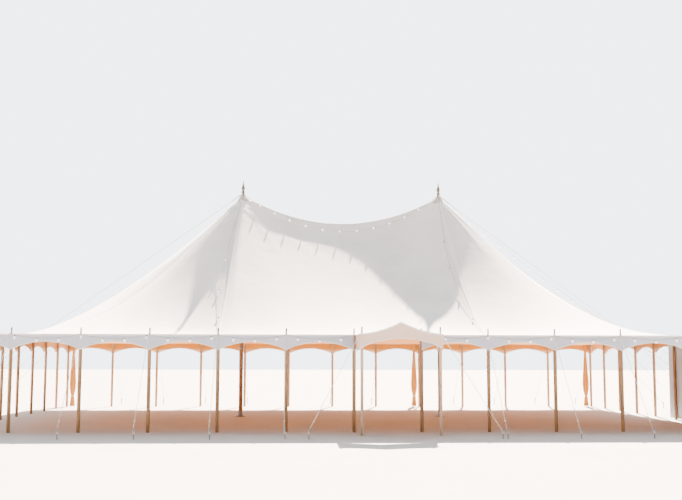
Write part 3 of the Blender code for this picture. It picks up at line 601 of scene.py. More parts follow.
def relief(x, y):
    """How the tight cloth departs from its smooth shape: it dips between the poles, creases a little at each pin,
    pulls in folds from the peaks, and is drawn up along the webbing from the peaks."""
    rise = np.zeros(np.broadcast(x, y).shape)
    for a, b, half_b, bay, half in ((x, y, EDGE_Y, BAY_LENGTH, HALF_LENGTH), (y, x, EDGE_X, BAY_DEPTH, HALF_DEPTH)):
        inside = np.clip(half_b - np.abs(b), 0, None)
        phase = CIRCLE * a / bay
        corner = np.clip((half - np.abs(a)) / 0.8, 0, 1)
        dip = inside / 0.55 * np.exp(1 - inside / 0.55)
        rise -= 0.02 * dip * (1 - np.cos(phase)) / 2 * corner
        rise += 0.0035 * np.exp(-inside / 0.3) * np.clip(inside / 0.05, 0, 1) * np.cos(9 * phase) * corner
    for _, side in HANDS:
        far = np.hypot(x - side * PEAK_X, y)
        angle = np.arctan2(y, x - side * PEAK_X)
        fold = np.cos(18 * angle) + 0.5 * np.cos(31 * angle + 1.3)
        rise += 0.009 * fold * np.clip(far / 0.35, 0, 1) * np.exp(-far / 1.3)
        share = np.clip(np.abs(y) / EDGE_Y, 0, 1)
        line = side * (PEAK_X + (2 * BAY_LENGTH - PEAK_X) * share)
        rise += 0.06 * np.sin(math.pi * share) * np.exp(-np.abs(x - line) / 0.45)
    return rise


def top_of(x, y):
    """Height of the outer face of the cloth, out to the roped hem over the poles."""
    over = np.maximum(np.abs(x) - EDGE_X, np.abs(y) - EDGE_Y)
    rope_hem = HEM_ROPE_SIZE * np.exp(-(((over - HEM_ROPE_OUT) / HEM_ROPE_SIZE) ** 2))
    return swoop(x, y) + TOP_LIFT + relief(x, y) * (over < 0) + np.where(over > 0, rope_hem, 0)


def on_top(x, y, lift=0.0):
    """Points on the outer face, or above it."""
    return together(x, y, top_of(x, y) + lift)


def normals_at(x, y):
    step = 0.01
    dx = (top_of(x + step, y) - top_of(x - step, y)) / (2 * step)
    dy = (top_of(x, y + step) - top_of(x, y - step)) / (2 * step)
    return unit(together(-dx, -dy, 1.0))


def round_peaks(x, y):
    """Points on the outer face. Those that would be inside a king pole are moved out to a ring round it."""
    plan = together(x, y)
    ring = KING_RADIUS + 0.006
    for _, side in HANDS:
        away = plan - (side * PEAK_X, 0)
        far = np.linalg.norm(away, axis=-1)
        inside = far < ring
        away[far < 1e-6] = (side * 1e-6, 0)
        plan[inside] = unit(away[inside]) * ring + (side * PEAK_X, 0)
    return on_top(plan[..., 0], plan[..., 1])


def rows_out():
    """The rows of a panel as (share of the way from the ridge to the edge, metres past the edge). They are close
    together near the ridge and the eave, and then go over the hem."""
    share = np.linspace(0, 1, CANOPY_ROWS)
    share = share - 0.3 * np.sin(CIRCLE * share) / CIRCLE
    return [(s, 0) for s in share] + [(1, e) for e in HEM_ROWS]


def panel(grid_x, grid_y, sign):
    """A panel of the canopy over a grid, with its columns the other way round on the positive side."""
    points = round_peaks(grid_x, grid_y)[:, ::-sign]
    shape = Shape()
    shape.grid(points, points[..., :2])
    return shape


def long_panel(sign):
    """Front or back panel: a grid that follows the ridge, both peaks and both hips."""
    wing = np.linspace(0, 1, 46)
    middle = PEAK_X * np.linspace(-1, 1, 61)
    rows = [(EDGE_Y * s + e, (EDGE_X - PEAK_X) * s + e) for s, e in rows_out()][::-1]
    grid_x = [np.concatenate([-PEAK_X - out * (1 - wing[:-1]), middle, PEAK_X + out * wing[1:]]) for _, out in rows]
    return panel(np.array(grid_x), sign * np.array([y for y, _ in rows])[:, None], sign)


def end_panel(sign):
    """Panel of one end: a fan of lines from the peak."""
    rows = [(EDGE_Y * s + e, PEAK_X + (EDGE_X - PEAK_X) * s + e) for s, e in rows_out()]
    half, x = np.array(rows).T[:, :, None]
    return panel(sign * x, half * np.linspace(-1, 1, 101), sign)


def strip_on_top(shape, start, end, size, look=0):
    """A tape laid on the cloth along a straight line of the plan."""
    start, end = np.asarray(start, float), np.asarray(end, float)
    share = np.linspace(0, 1, max(3, int(np.linalg.norm(end - start) / 0.08)))[:, None]
    x, y = (start * (1 - share) + end * share).T
    tape(shape, on_top(x, y), normals_at(x, y), *size, look=look)


def canopy():
    """The four panels with their lapped seams, and the webbing from the peaks and along the ridge and the hips."""
    ends = tuple((f"{name}_end", side) for name, side in HANDS)
    panels, trims = {}, {}
    for name, shape in [(n, long_panel(s)) for n, s in LONG_SIDES] + [(n, end_panel(s)) for n, s in ends]:
        panels[name] = shape.piece(
            f"canopy_{name}_cloth", CANVAS, UNDERSIDE_PAINTED_GLOW, slot="canopy_cloth", stands_for=f"canopy_{name}", depth=SKIN
        )

    past = 0.02
    for name, sign in LONG_SIDES:
        shape = Shape()
        for x in (k * BAY_LENGTH for k in range(-5, 6)):
            inner = 0.02 if abs(x) < PEAK_X else (abs(x) - PEAK_X) / (EDGE_X - PEAK_X) * EDGE_Y + 0.03
            strip_on_top(shape, (x, sign * inner), (x, sign * (EDGE_Y + past)), LAPPED)
        trims[name] = [shape.piece(f"canopy_{name}_seams", SEAM, slot="canopy_cloth", closed=True)]
    for name, sign in ends:
        shape = Shape()
        for y in (k * BAY_DEPTH for k in range(-3, 4)):
            inner = PEAK_X + max(0.12, abs(y) / EDGE_Y * (EDGE_X - PEAK_X) + 0.03)
            strip_on_top(shape, (sign * inner, y), (sign * (EDGE_X + past), y), LAPPED)
        trims[name] = [shape.piece(f"canopy_{name}_seams", SEAM, slot="canopy_cloth", closed=True)]

    for name, sign in LONG_SIDES:
        shape = Shape()
        for _, side in HANDS:
            foot = (side * 2 * BAY_LENGTH, sign * (EDGE_Y + past))
            strip_on_top(shape, (side * PEAK_X, sign * 0.13), foot, PEAK_STRAP, look=1)
        off = sign * STRAP_OFF_RIDGE
        strip_on_top(shape, (-PEAK_X + 0.13, off), (PEAK_X - 0.13, off), STRAP)
        for _, side in HANDS:
            start = np.array([side * PEAK_X, 0.0])
            end = np.array([side * EDGE_X, sign * EDGE_Y])
            along = unit(end - start)
            off = np.array([-along[1], along[0]]) * side * sign * STRAP_OFF_HIP
            strip_on_top(shape, start + along * 0.14 + off, end + off, STRAP)
        webbing = shape.piece(f"canopy_{name}_webbing", TAPE, PEAK_TAPE, slot="canopy_cloth", closed=True)
        trims[name].append(webbing)


# The four sides: half the length, the bays, and the map from (along, out, z) to the world. Along goes from left
# to right as seen from outside

SIDES = {
    "front": (HALF_LENGTH, BAYS_LONG, lambda a, o, z: together(a, -HALF_DEPTH - o, z)),
    "back": (HALF_LENGTH, BAYS_LONG, lambda a, o, z: together(-a, HALF_DEPTH + o, z)),
    "left": (HALF_DEPTH, BAYS_DEEP, lambda a, o, z: together(-HALF_LENGTH - o, -a, z)),
    "right": (HALF_DEPTH, BAYS_DEEP, lambda a, o, z: together(HALF_LENGTH + o, a, z)),
}
OUTWARD = {"front": (0.0, -1.0, 0.0), "back": (0.0, 1.0, 0.0), "left": (-1.0, 0.0, 0.0), "right": (1.0, 0.0, 0.0)}


def scalloped(name, side, first, last, phase):
    """One stretch of valance, from one pole to another: cloth that hangs in slight waves, with a taped lower edge
    and a sewn top."""
    half, bays, where = SIDES[side]
    long_side = side in ("front", "back")
    bay = 2 * half / bays
    tips = [-half + k * bay for k in range(first, last + 1)]
    end = HEM_OUT if long_side else HEM_OUT - 0.004
    if first == 0:
        tips[0] -= end
    if last == bays:
        tips[-1] += end
    share = np.arange(SCALLOP_STEPS) / SCALLOP_STEPS
    along = np.concatenate([*(a + (b - a) * share for a, b in zip(tips, tips[1:])), [tips[-1]]])
    scallop = VALANCE_TIP + (VALANCE_CREST - VALANCE_TIP) * np.sin(math.pi * share) ** SCALLOP_POWER
    low = np.append(np.tile(scallop, last - first), VALANCE_TIP)
    top = BAND_TOP + TOP_LIFT - 0.001
    z = top + (low - top) * np.linspace(0, 1, 11)[:, None]

    def out_at(drop):
        wave = 0.5 + 0.3 * np.sin(along * 9.1 + phase) + 0.2 * np.sin(along * 17.7 + 2 * phase)
        calm = np.clip(np.minimum(np.abs(along - tips[0]), np.abs(along - tips[-1])) / 0.2, 0, 1)
        return HEM_OUT + 0.003 + 0.05 * drop * wave * calm

    shape, trim = Shape(), Shape()
    shape.grid(where(along, out_at(top - z), z)[::-1], together(along, z[::-1]))
    cloth = shape.piece(
        f"{name}_cloth", VALANCE_PAINTED_SHADE, VALANCE_BACK_PAINTED_GLOW, slot="valance_cloth", stands_for=name, depth=THIN_SKIN
    )
    tape(trim, where(along, out_at(top - low) - 0.001, low + 0.008), OUTWARD[side], *BOUND_EDGE)
    tape(trim, where(along, HEM_OUT + 0.003, top - 0.016), OUTWARD[side], *SEWN_TOP)
    binding = trim.piece(f"{name}_binding", TAPE, slot="valance_cloth", closed=True)


def valances():
    entrance = BAYS_LONG // 2
    for k, (name, side, first, last) in enumerate(
        (
            ("front_left", "front", 0, entrance),
            ("front_right", "front", entrance + 1, BAYS_LONG),
            ("back_left", "back", 0, entrance),
            ("back_right", "back", entrance, BAYS_LONG),
            ("left_end", "left", 0, BAYS_DEEP),
            ("right_end", "right", 0, BAYS_DEEP),
        )
    ):
        scalloped(f"valance_{name}", side, first, last, 1.7 * k)


# Poles and guy ropes, with profiles as (radius, height)

POLE = (
    (0.0, 0.0), (0.037, 0.0), (0.041, 0.008), (0.043, 0.4),
    (0.0435, 1.1), (0.0425, 1.8), (0.0405, 2.17), (0.0405, 2.236),
)
FERRULE = ((0.0, 2.228), (0.042, 2.228), (0.0426, 2.231), (0.0426, 2.259), (0.036, 2.2625), (0.0, 2.2625))
PIN = (
    (0.0, 2.26), (0.0195, 2.26), (PIN_RADIUS, 2.275), (0.0175, 2.42),
    (0.0155, 2.431), (0.011, 2.4345), (0.0, 2.435),
)
WASHER_Z = BAND_TOP + TOP_LIFT
WASHER = (
    (0.019, WASHER_Z), (0.033, WASHER_Z), (0.035, WASHER_Z + 0.002),
    (0.031, WASHER_Z + 0.005), (0.019, WASHER_Z + 0.005), (0.019, WASHER_Z),
)
STAKE = (
    (0.0, 0.0), (STAKE_RADIUS, 0.0), (STAKE_RADIUS, 0.222), (0.02, 0.226),
    (0.0205, 0.232), (0.015, 0.239), (0.0, 0.24),
)


def runs_of(side):
    """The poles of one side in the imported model's runs, with the name that each run ends in."""
    half, bays, _ = SIDES[side]
    ends = side in ("left", "right")
    first = 1 if ends else 0
    places = [-half + 2 * half * k / bays for k in range(first, bays + 1 - first)]
    if ends:
        return [(side, places)]
    return [(f"{side}_{n}", run.tolist()) for n, run in enumerate(np.array_split(places, 3), 1)]


def side_poles():
    """The poles with a ferrule and a pin, and the washer that holds the hem down round the pin."""
    for side, (_, _, where) in SIDES.items():
        for name, run in runs_of(side):
            wood, steel = Shape(), Shape()
            for along in run:
                foot = where(along, 0.0, 0.0)
                lathe(wood, POLE, foot, 20)
                for profile, sides, look in ((PIN, 14, 0), (FERRULE, 20, 2), (WASHER, 16, 1)):
                    lathe(steel, profile, foot, sides, look=look)
            wood.piece(f"side_poles_{name}_timber", TIMBER, slot="timber", stands_for=f"side_poles_{name}")
            steel.piece(f"side_poles_{name}_pins", PIN_STEEL, BRASS, STEEL)


def stake_at(shape, spot):
    """A steel stake with a domed head, driven to where the rope is tied."""
    lathe(shape, STAKE, (spot[0], spot[1], 0.0), 14)


def wraps(centre, radius, z_start, z_end, turns, start):
    """Turns of rope round an upright pin, from one height to another, starting at an angle."""
    share = np.linspace(0, 1, int(turns * 12) + 1)
    angle = start + share * turns * CIRCLE
    z = z_start + (z_end - z_start) * share
    return together(centre[0] + radius * np.cos(angle), centre[1] + radius * np.sin(angle), z)


def guy_between(shape, pin, pin_z, stake):
    """A laid rope with turns round the pin, a straight run and turns round the stake."""
    radius, pitch = GUY_ROPE
    away = math.atan2(stake[1] - pin[1], stake[0] - pin[0])
    ring = PIN_RADIUS + radius * 0.95
    first = wraps(pin, ring, pin_z + 0.055, pin_z, 2.5, away - 2.5 * CIRCLE - math.pi / 2)
    ring = STAKE_RADIUS + radius * 0.95
    last = wraps(stake, ring, STAKE_TIE, STAKE_TIE - 0.055, 3, away - math.pi / 2)
    laid_rope(shape, np.vstack([first, last]), radius, pitch)
    # A half hitch lies on the run just above the stake
    share = 0.9
    at = first[-1] * (1 - share) + last[0] * share
    lean = unit(last[0] - first[-1])
    ring = np.linspace(0, 2.2 * CIRCLE, 30)
    side = unit(np.cross(lean, (0, 0, 1)))
    up = np.cross(side, lean)
    coil = at + np.outer(np.cos(ring), side * radius * 1.9) + np.outer(np.sin(ring), up * radius * 1.9)
    coil = coil + np.outer(np.linspace(-1, 1, 30) * radius * 2.2, lean)
    laid_rope(shape, coil, radius * 0.8, pitch)


def guy_ropes():
    """The ropes and stakes of each run. The poles behind the awning have none."""
    for side, (_, _, where) in SIDES.items():
        for name, run in runs_of(side):
            rope, steel = Shape(), Shape()
            for along in run:
                if side == "front" and abs(along - AWNING_X) < AWNING_HALF + 0.06:
                    continue
                stake = where(along, GUY_REACH, 0.0)
                guy_between(rope, where(along, 0.0, 0.0), BAND_TOP + 0.035, stake)
                stake_at(steel, stake)
            rope.piece(f"guy_ropes_{name}_laid", ROPE, slot="rope", stands_for=f"guy_ropes_{name}", closed=True)
            steel.piece(f"stakes_{name}", STEEL)


# King poles, collars, finials and main guys

SHAFT = (
    (0.0, 0.026), (0.058, 0.026), (0.06, 0.3), (KING_RADIUS, 3.0),
    (0.0615, KING_TOP - 0.01), (0.055, KING_TOP), (0.0, KING_TOP),
)
FOOT_PLATE = (
    (0.0, 0.0), (0.166, 0.0), (0.17, 0.004), (0.17, 0.02), (0.166, 0.025),
    (0.077, 0.025), (0.069, 0.032), (0.067, 0.16), (0.065, 0.165), (0.058, 0.165),
)
FOOT_BOLT = ((0.0, 0.034), (0.007, 0.034), (0.011, 0.03), (0.011, 0.024), (0.0, 0.024))
FOOT_BOLT_RING = 0.128
HOOP = ((0.0618, 0.0), (0.065, 0.001), (0.065, 0.049), (0.0618, 0.05))
FINIAL = (
    (0.0, 1.0), (0.1, 0.97), (0.28, 0.79), (0.6, 0.6), (0.95, 0.48),
    (1.0, 0.44), (0.92, 0.38), (0.68, 0.31), (0.6, 0.27), (0.68, 0.23),
    (0.88, 0.18), (0.9, 0.14), (0.8, 0.1), (0.6, 0.065), (0.6, 0.045),
)
PLINTH = (
    (0.034, 0.019), (0.04, 0.017), (0.042, 0.013), (0.0415, 0.009),
    (0.0395, 0.0075), (0.042, 0.005), (0.042, 0.0), (0.0, 0.0),
)
COLLAR = (
    (0.0655, 0.025), (0.067, 0.02), (0.073, 0.011), (0.087, -0.004),
    (0.11, -0.026), (0.145, -0.058), (0.185, -0.095),
)


def peaks():
    for name, side in HANDS:
        x = side * PEAK_X
        wood, steel, finial = Shape(), Shape(), Shape()
        lathe(wood, SHAFT, (x, 0, 0), 40)
        lathe(steel, FOOT_PLATE, (x, 0, 0), 48)
        for k in range(4):
            angle = (k + 0.5) * math.pi / 2
            spot = (x + FOOT_BOLT_RING * math.cos(angle), FOOT_BOLT_RING * math.sin(angle), 0)
            lathe(steel, FOOT_BOLT, spot, 6)
        for z in (2.0, 4.2):
            lathe(steel, HOOP, (x, 0, z), 40)
        wood.piece(f"king_pole_{name}_timber", TIMBER, slot="timber", stands_for=f"king_pole_{name}")
        steel.piece(f"king_pole_{name}_fittings", STEEL)
        turned = smooth_profile(FINIAL, 6) * (FINIAL_RADIUS, FINIAL_HEIGHT)
        lathe(finial, np.vstack([turned, PLINTH]), (x, 0, KING_TOP + 0.0003), 40)
        finial.piece(f"finial_{name}_turned", TURNED, slot="finial_timber", stands_for=f"finial_{name}", closed=True)
        collar(name, x)
        main_guy(name, side)


def collar(name, x):
    """The cloth collar at a peak: gathered at its neck under a lashing, it falls in soft folds onto the cloth."""
    turn = np.linspace(0, CIRCLE, 97)
    neck, height = smooth_profile(COLLAR, 5).T[:, :, None]
    radius = neck * (1 + 0.03 * np.cos(14 * turn) * np.clip((0.02 - height) / 0.05, 0, 1))
    px, py = x + radius * np.cos(turn), radius * np.sin(turn)
    rest = top_of(px, py) + 0.004
    fall = np.clip((neck - 0.09) / 0.09, 0, 1)
    fall = fall * fall * (3 - 2 * fall)
    points = together(px, py, np.maximum((COLLAR_Z + height) * (1 - fall) + rest * fall, rest))
    points[:, -1] = points[:, 0]
    cloth, lashing = Shape(), Shape()
    cloth.grid(points[::-1])
    node_name = f"peak_collar_{name}"
    sleeve = cloth.piece(
        f"{node_name}_cloth", COLLAR_CLOTH, slot="canopy_cloth", stands_for=node_name, depth=THIN_SKIN
    )
    laid_rope(lashing, wraps((x, 0), 0.072, COLLAR_Z + 0.01, COLLAR_Z + 0.02, 2, 0.3), *LASHING)
    cord = lashing.piece(f"peak_lashing_{name}", GREY_ROPE, slot="rope", closed=True)


def main_guy_line(side):
    """The middle of a main guy's eye, its tie at the stake behind the middle of the end, and the level way there."""
    centre = np.array([side * PEAK_X, 0, EYE_Z + 0.01])
    stake = np.array([side * (HALF_LENGTH + MAIN_GUY_REACH), MAIN_GUY_BACK, STAKE_TIE])
    return centre, stake, unit((stake - centre) * (1, 1, 0))


def main_guy(name, side):
    """The rope from the king pole's head to its stake."""
    centre, stake, level = main_guy_line(side)
    away = math.atan2(level[1], level[0])
    rope, steel = Shape(), Shape()
    eye = wraps(centre, 0.0725, EYE_Z + 0.016, EYE_Z + 0.006, 2, away - 2 * CIRCLE)
    last = wraps(stake, STAKE_RADIUS + 0.0085, STAKE_TIE, STAKE_TIE - 0.06, 3, away - math.pi / 2)
    laid_rope(rope, np.vstack([eye, last]), *MAIN_ROPE)
    splice = centre + level * 0.088 + np.outer(np.linspace(0, 0.35, 12), unit(last[0] - eye[-1]))
    tube(rope, splice, np.linspace(0.0125, 0.0095, 12), 10)
    stake_at(steel, stake)
    rope.piece(f"main_guy_{name}_laid", GREY_ROPE, slot="rope", stands_for=f"main_guy_{name}", closed=True)
    steel.piece(f"stake_main_{name}", STEEL)


# Wall cloths


def wall_panel():
    """The wall at the right end: one cloth that hangs in soft upright waves, hemmed all round."""
    low, high = -HALF_DEPTH + 0.062, -HALF_DEPTH + WALL_BAYS * BAY_DEPTH
    where = SIDES["right"][2]
    along = np.linspace(low, high, 180)
    z = np.linspace(0.02, BAND_TOP - 0.0115, 46)[:, None]

    def out_at(a, height):
        slack = np.clip((2.2 - height) / 1.6, 0, 1)
        wave = np.sin(a * 7.3 + 0.6 * np.sin(height * 1.7)) + 0.5 * np.sin(a * 15.1 + 1.0)
        return 0.0505 + 0.0045 * slack * wave

    def hem(a, height, size):
        tape(trim, where(a, out_at(a, height) + 0.0005, height), OUTWARD["right"], *size)

    shape, trim = Shape(), Shape()
    shape.grid(where(along, out_at(along, z), z), together(along, z))
    cloth = shape.piece(
        "wall_panel_cloth", WALL_PAINTED_SHADE, slot="wall_cloth", stands_for="wall_panel_right_end", depth=THIN_SKIN
    )
    for height in (0.05, BAND_TOP - 0.04):
        hem(along, height, WALL_HEM)
    for a in (low + 0.025, *(-HALF_DEPTH + k * BAY_DEPTH for k in (1, 2, 3)), high - 0.025):
        hem(a, z[:, 0], WALL_SEAM)
    hems = trim.piece("wall_panel_hems", TAPE, slot="wall_cloth", closed=True)


# A curtain's outer radius from its line down to its foot, as (height, radius)
CURTAIN_SHAPE = (
    (2.2597, 0.04), (1.9, 0.05), (1.48, 0.078), (1.1, 0.105), (0.83, 0.12),
    (0.6, 0.105), (0.44, 0.068), (0.38, 0.055), (0.32, 0.066), (0.02, 0.1),
)
PLEATS = 9


def curtain(name, x, seed):
    """A wall cloth gathered round a line beside its pole: deep pleats that are tied near their foot."""
    rng = np.random.default_rng(seed)
    heights, radii = np.array(CURTAIN_SHAPE)[::-1].T
    z = np.linspace(heights[-1], heights[0], 50)[:, None]
    turn = np.linspace(0, CIRCLE * 0.97, 145)
    drift = 0.25 * np.sin(z * 1.9 + rng.uniform(0, 6))
    wave = np.sin(PLEATS * turn + drift + 0.5 * np.sin(3 * turn + rng.uniform(0, 6)))
    fine = 0.25 * np.sin(2.3 * PLEATS * turn + 1.5 * drift + rng.uniform(0, 6))
    depth = 0.42 * (1 + 0.15 * np.sin(2 * turn + rng.uniform(0, 6)))
    radius = np.interp(z, heights, radii) * (1 - depth * (0.5 - 0.4 * wave - 0.4 * fine))
    shape, tie = Shape(), Shape()
    shape.grid(together(x + radius * np.cos(turn), HALF_DEPTH + radius * np.sin(turn), z)[::-1])
    cloth = shape.piece(f"{name}_cloth", CURTAIN_PAINTED_GLOW, slot="wall_cloth", stands_for=name, depth=THIN_SKIN)
    laid_rope(tie, wraps((x, HALF_DEPTH), 0.061, 0.365, 0.395, 2, 0.5), *CURTAIN_TIE)
    cord = tie.piece(f"{name}_tie", ROPE, slot="rope", closed=True)


# The entrance awning

AWNING_POLE = (
    (0.0, 0.0), (0.029, 0.0), (0.033, 0.008), (0.034, 0.6),
    (0.034, 1.6), (0.032, 2.2), (0.032, 2.226),
)
AWNING_CAP = ((0.0, 2.22), (0.0332, 2.22), (0.0336, 2.252), (0.024, 2.258), (0.0, 2.258))
AWNING_BASE = BAND_TOP - 0.0063
AWNING_TIP = AWNING_BASE - 0.36
AWNING_CREST = AWNING_BASE - 0.37 + AWNING_RISE
AWNING_ARCH_POWER = 0.65
AWNING_BACK, AWNING_FRONT = -HALF_DEPTH - 0.0603, -HALF_DEPTH - AWNING_REACH
UPWARD = (0, 0, 1.0)


def gable(x):
    """How far the awning's roof is above its edges."""
    share = np.clip(np.abs(x) / AWNING_HALF, 0, 1)
    return AWNING_RISE * (1 - share) - AWNING_SAG * np.sin(math.pi * share)


def hump(y):
    """A wave over the awning's reach, nothing at its front and back."""
    return np.sin(math.pi * (y - AWNING_FRONT) / (AWNING_BACK - AWNING_FRONT))


def awning_roof(x):
    """The gabled cloth, taped at its front, back and sides, its ridge and the middle of each slope."""
    y = np.linspace(AWNING_FRONT, AWNING_BACK, 41)[:, None]
    slack = 0.012 * hump(y) * np.sin(math.pi * np.abs(x) / AWNING_HALF)
    points = together(AWNING_X + x, y, AWNING_BASE + gable(x) + TOP_LIFT - slack)
    roof, trim = Shape(), Shape()
    roof.grid(points, points[..., :2])
    cloth = roof.piece(
        "awning_roof_cloth", CANVAS, UNDERSIDE_PAINTED_GLOW, slot="canopy_cloth", stands_for="awning_roof", depth=SKIN
    )
    for row in (1, 40):
        tape(trim, points[row], UPWARD, *AWNING_HEM)
    for column, inwards in ((0, 0.012), (27, 0), (40, 0), (53, 0), (80, -0.012)):
        tape(trim, points[:, column] + (inwards, 0, 0), UPWARD, *AWNING_SEAM)
    webbing = trim.piece("awning_roof_webbing", TAPE, slot="canopy_cloth", closed=True)


def awning_valance(x):
    """The arched face with a flap down each side."""
    across = np.clip(np.sin(math.pi * (x + AWNING_HALF) / (2 * AWNING_HALF)), 0, 1)
    arch = AWNING_TIP + (AWNING_CREST - AWNING_TIP) * across**AWNING_ARCH_POWER
    top = AWNING_BASE + gable(x) + 0.002
    front = AWNING_FRONT + 0.0015
    share = np.linspace(0, 1, 12)[:, None]
    ripple = 0.004 * np.sin(x * 13.0) * (1 - share) * np.clip((AWNING_HALF - np.abs(x)) / 0.2, 0, 1)
    points = together(AWNING_X + x, front - 0.004 * (1 - share) + ripple, arch + (top - arch) * share)
    face, trim = Shape(), Shape()
    face.grid(points, points[..., ::2])
    y = np.linspace(AWNING_FRONT, AWNING_BACK, 31)
    z = np.linspace(AWNING_TIP, AWNING_BASE + 0.002, 8)[:, None]
    out = 0.006 * np.sin(y * 11) * (1 - (z - AWNING_TIP) / (AWNING_BASE - AWNING_TIP)) * hump(y)
    for _, side in HANDS:
        flap = together(AWNING_X + side * (AWNING_HALF - 0.001) + out, y, z)
        face.grid(flap[:, ::side], flap[..., 1:])
    skirt = face.piece(
        "awning_valance_cloth", AWNING_FACE, VALANCE_BACK_PAINTED_GLOW, slot="valance_cloth", stands_for="awning_valance",
        depth=THIN_SKIN,
    )
    tape(trim, together(AWNING_X + x, AWNING_FRONT - 0.003, arch + 0.008), OUTWARD["front"], *BOUND_EDGE)
    tape(trim, together(AWNING_X + x, front, top - 0.016), OUTWARD["front"], *SEWN_TOP)
    binding = trim.piece("awning_valance_binding", TAPE, slot="valance_cloth", closed=True)


def awning():
    x = np.linspace(-AWNING_HALF, AWNING_HALF, 81)
    awning_roof(x)
    awning_valance(x)
    for name, side in HANDS:
        foot = (AWNING_X + side * (AWNING_HALF - AWNING_POLE_INSET), AWNING_FRONT + AWNING_POLE_INSET, 0)
        stake = (foot[0] + side * AWNING_GUY_SPREAD, -HALF_DEPTH - GUY_REACH, 0)
        wood, steel, rope, peg = Shape(), Shape(), Shape(), Shape()
        lathe(wood, AWNING_POLE, foot, 20)
        lathe(steel, AWNING_CAP, foot, 20, look=1)
        lathe(steel, PIN, foot, 14)
        wood.piece(f"awning_pole_{name}_timber", PALE_TIMBER, slot="timber", stands_for=f"awning_pole_{name}")
        steel.piece(f"awning_pole_{name}_pin", PIN_STEEL, STEEL)
        guy_between(rope, foot, BAND_TOP + 0.06, stake)
        stake_at(peg, stake)
        rope.piece(f"awning_guy_{name}_laid", ROPE, slot="rope", stands_for=f"awning_guy_{name}", closed=True)
        peg.piece(f"stake_awning_{name}", STEEL)


# Bulb strings

SOCKET_PROFILE = BULB_SIZE * np.array((
    (0.0, -0.012), (0.011, -0.01), (0.015, 0.0), (0.0155, 0.012),
    (0.0135, 0.016), (0.0155, 0.02), (0.0155, 0.034), (0.0, 0.036),
))
GLOBE_PROFILE = BULB_SIZE * smooth_profile((
    (0.0, 0.034), (0.013, 0.036), (0.0155, 0.046), (0.026, 0.062),
    (0.03, 0.08), (0.0245, 0.099), (0.012, 0.1085), (0.0, 0.111),
), 3)


def string(name, path, every, start, downs, bulb=BULB_PAINTED_GLOW):
    """A cable along its path, with a socket and a frosted bulb at even distances. downs gives the way that the
    bulb at a point hangs."""
    cable, lamps = Shape(), Shape()
    path = spaced(path, 0.06)
    tube(cable, path, CABLE_RADIUS)
    length = float(far_along(path)[-1])
    for at in np.arange(start, length - 0.1, every):
        point = points_at(path, at)
        down = unit(downs(point))
        lathe(lamps, SOCKET_PROFILE, point, 12, axis=down, look=1)
        lathe(lamps, GLOBE_PROFILE, point, 16, axis=down, look=2)
    line = cable.piece(f"{name}_cable", SHEATH, slot="cable", stands_for=name, closed=True)
    bulbs = lamps.piece(f"{name}_bulbs", SHEATH, SOCKET, bulb)


def downhill(point, off=0.12):
    """The way down the cloth at a point, lifted off it by a share."""
    normal = normals_at(point[:1], point[1:2])[0]
    fall = unit(np.array((0, 0, -1.0)) - normal * -normal[2])
    return fall + normal * off


def festoons():
    """One string before the ridge, two down the front, two along the front eave and one under a main guy."""
    from_peak = COLLAR_RADIUS + 0.0003
    tie_z = COLLAR_Z + COLLAR_HEIGHT / 6
    steps = np.linspace(0, 1, 60)

    x = (PEAK_X - from_peak - 0.08) * (2 * steps - 1)
    ridge = on_top(x, -0.4 * np.sin(math.pi * steps), CABLE_LIFT)
    left, right = (
        [[side * (PEAK_X - UNDER_COLLAR), 0, tie_z], [side * (PEAK_X - from_peak - 0.04), 0, tie_z]]
        for _, side in HANDS
    )
    path = np.vstack([left, ridge, right[::-1]])
    string("festoon_ridge", path, 0.527, 0.523, lambda point: downhill(point, 0.7))

    for (name, side), bow, start, every in zip(HANDS, (0.22, -0.2), (3.82, 2.33), (1.55, 1.46)):
        x0, y0 = side * PEAK_X, -from_peak - 0.08
        x1, y1 = side * 2 * BAY_LENGTH, -HALF_DEPTH + CANOPY_INSET + 0.04
        x = x0 + (x1 - x0) * steps + side * bow * np.sin(math.pi * steps)
        down = on_top(x, y0 + (y1 - y0) * steps, CABLE_LIFT)
        top = [[x0, -UNDER_COLLAR, tie_z], [x0, -from_peak - 0.04, tie_z]]
        string(f"festoon_front_{name}", np.vstack([top, down]), every, start, downhill, BULB_PAINTED_SHADE)

    out, tie_z = -HALF_DEPTH - EAVE_CABLE_OUT, BAND_TOP - 0.005
    gap = AWNING_HALF + 0.04
    for name, low, high in (("left", -HALF_LENGTH, AWNING_X - gap), ("right", AWNING_X + gap, HALF_LENGTH)):
        poles = (k * BAY_LENGTH for k in range(-BAYS_LONG, BAYS_LONG))
        ties = [low, *(x for x in poles if low < x < high), high]
        spans = []
        for a, b in zip(ties, ties[1:]):
            sag = EAVE_SAG * min(1, (b - a) / BAY_LENGTH)
            s = np.arange(14) / 14
            spans.append(together(a + (b - a) * s, out - 0.012 * np.sin(math.pi * s), tie_z - 4 * sag * s * (1 - s)))
        path = np.vstack([*spans, (high, out, tie_z)])
        string(f"festoon_eave_{name}", path, 0.51, 0.18, lambda point: (0, -0.25, -1), EAVE_BULB_PAINTED_GLOW)

    centre, stake, level = main_guy_line(1)
    start = centre + level * 0.076
    along = unit(stake - start)
    under = -unit(np.cross(np.cross(along, (0, 0, 1)), along)) * CABLE_UNDER_ROPE
    first, last = COLLAR_RADIUS, np.linalg.norm(stake - start) - MAIN_STRING_SHORT
    share = steps[:, None]
    sag = np.array([0, 0, -4 * MAIN_SAG]) * share * (1 - share)
    path = start + along * (first + 0.04 + (last - first - 0.08) * share) + under + sag
    path = np.vstack([start + along * first + under, path, start + along * last + under])
    string("festoon_main_guy_right", path, 0.62, 0.5, lambda point: (0, 0, -1))


# Camera, light and floor


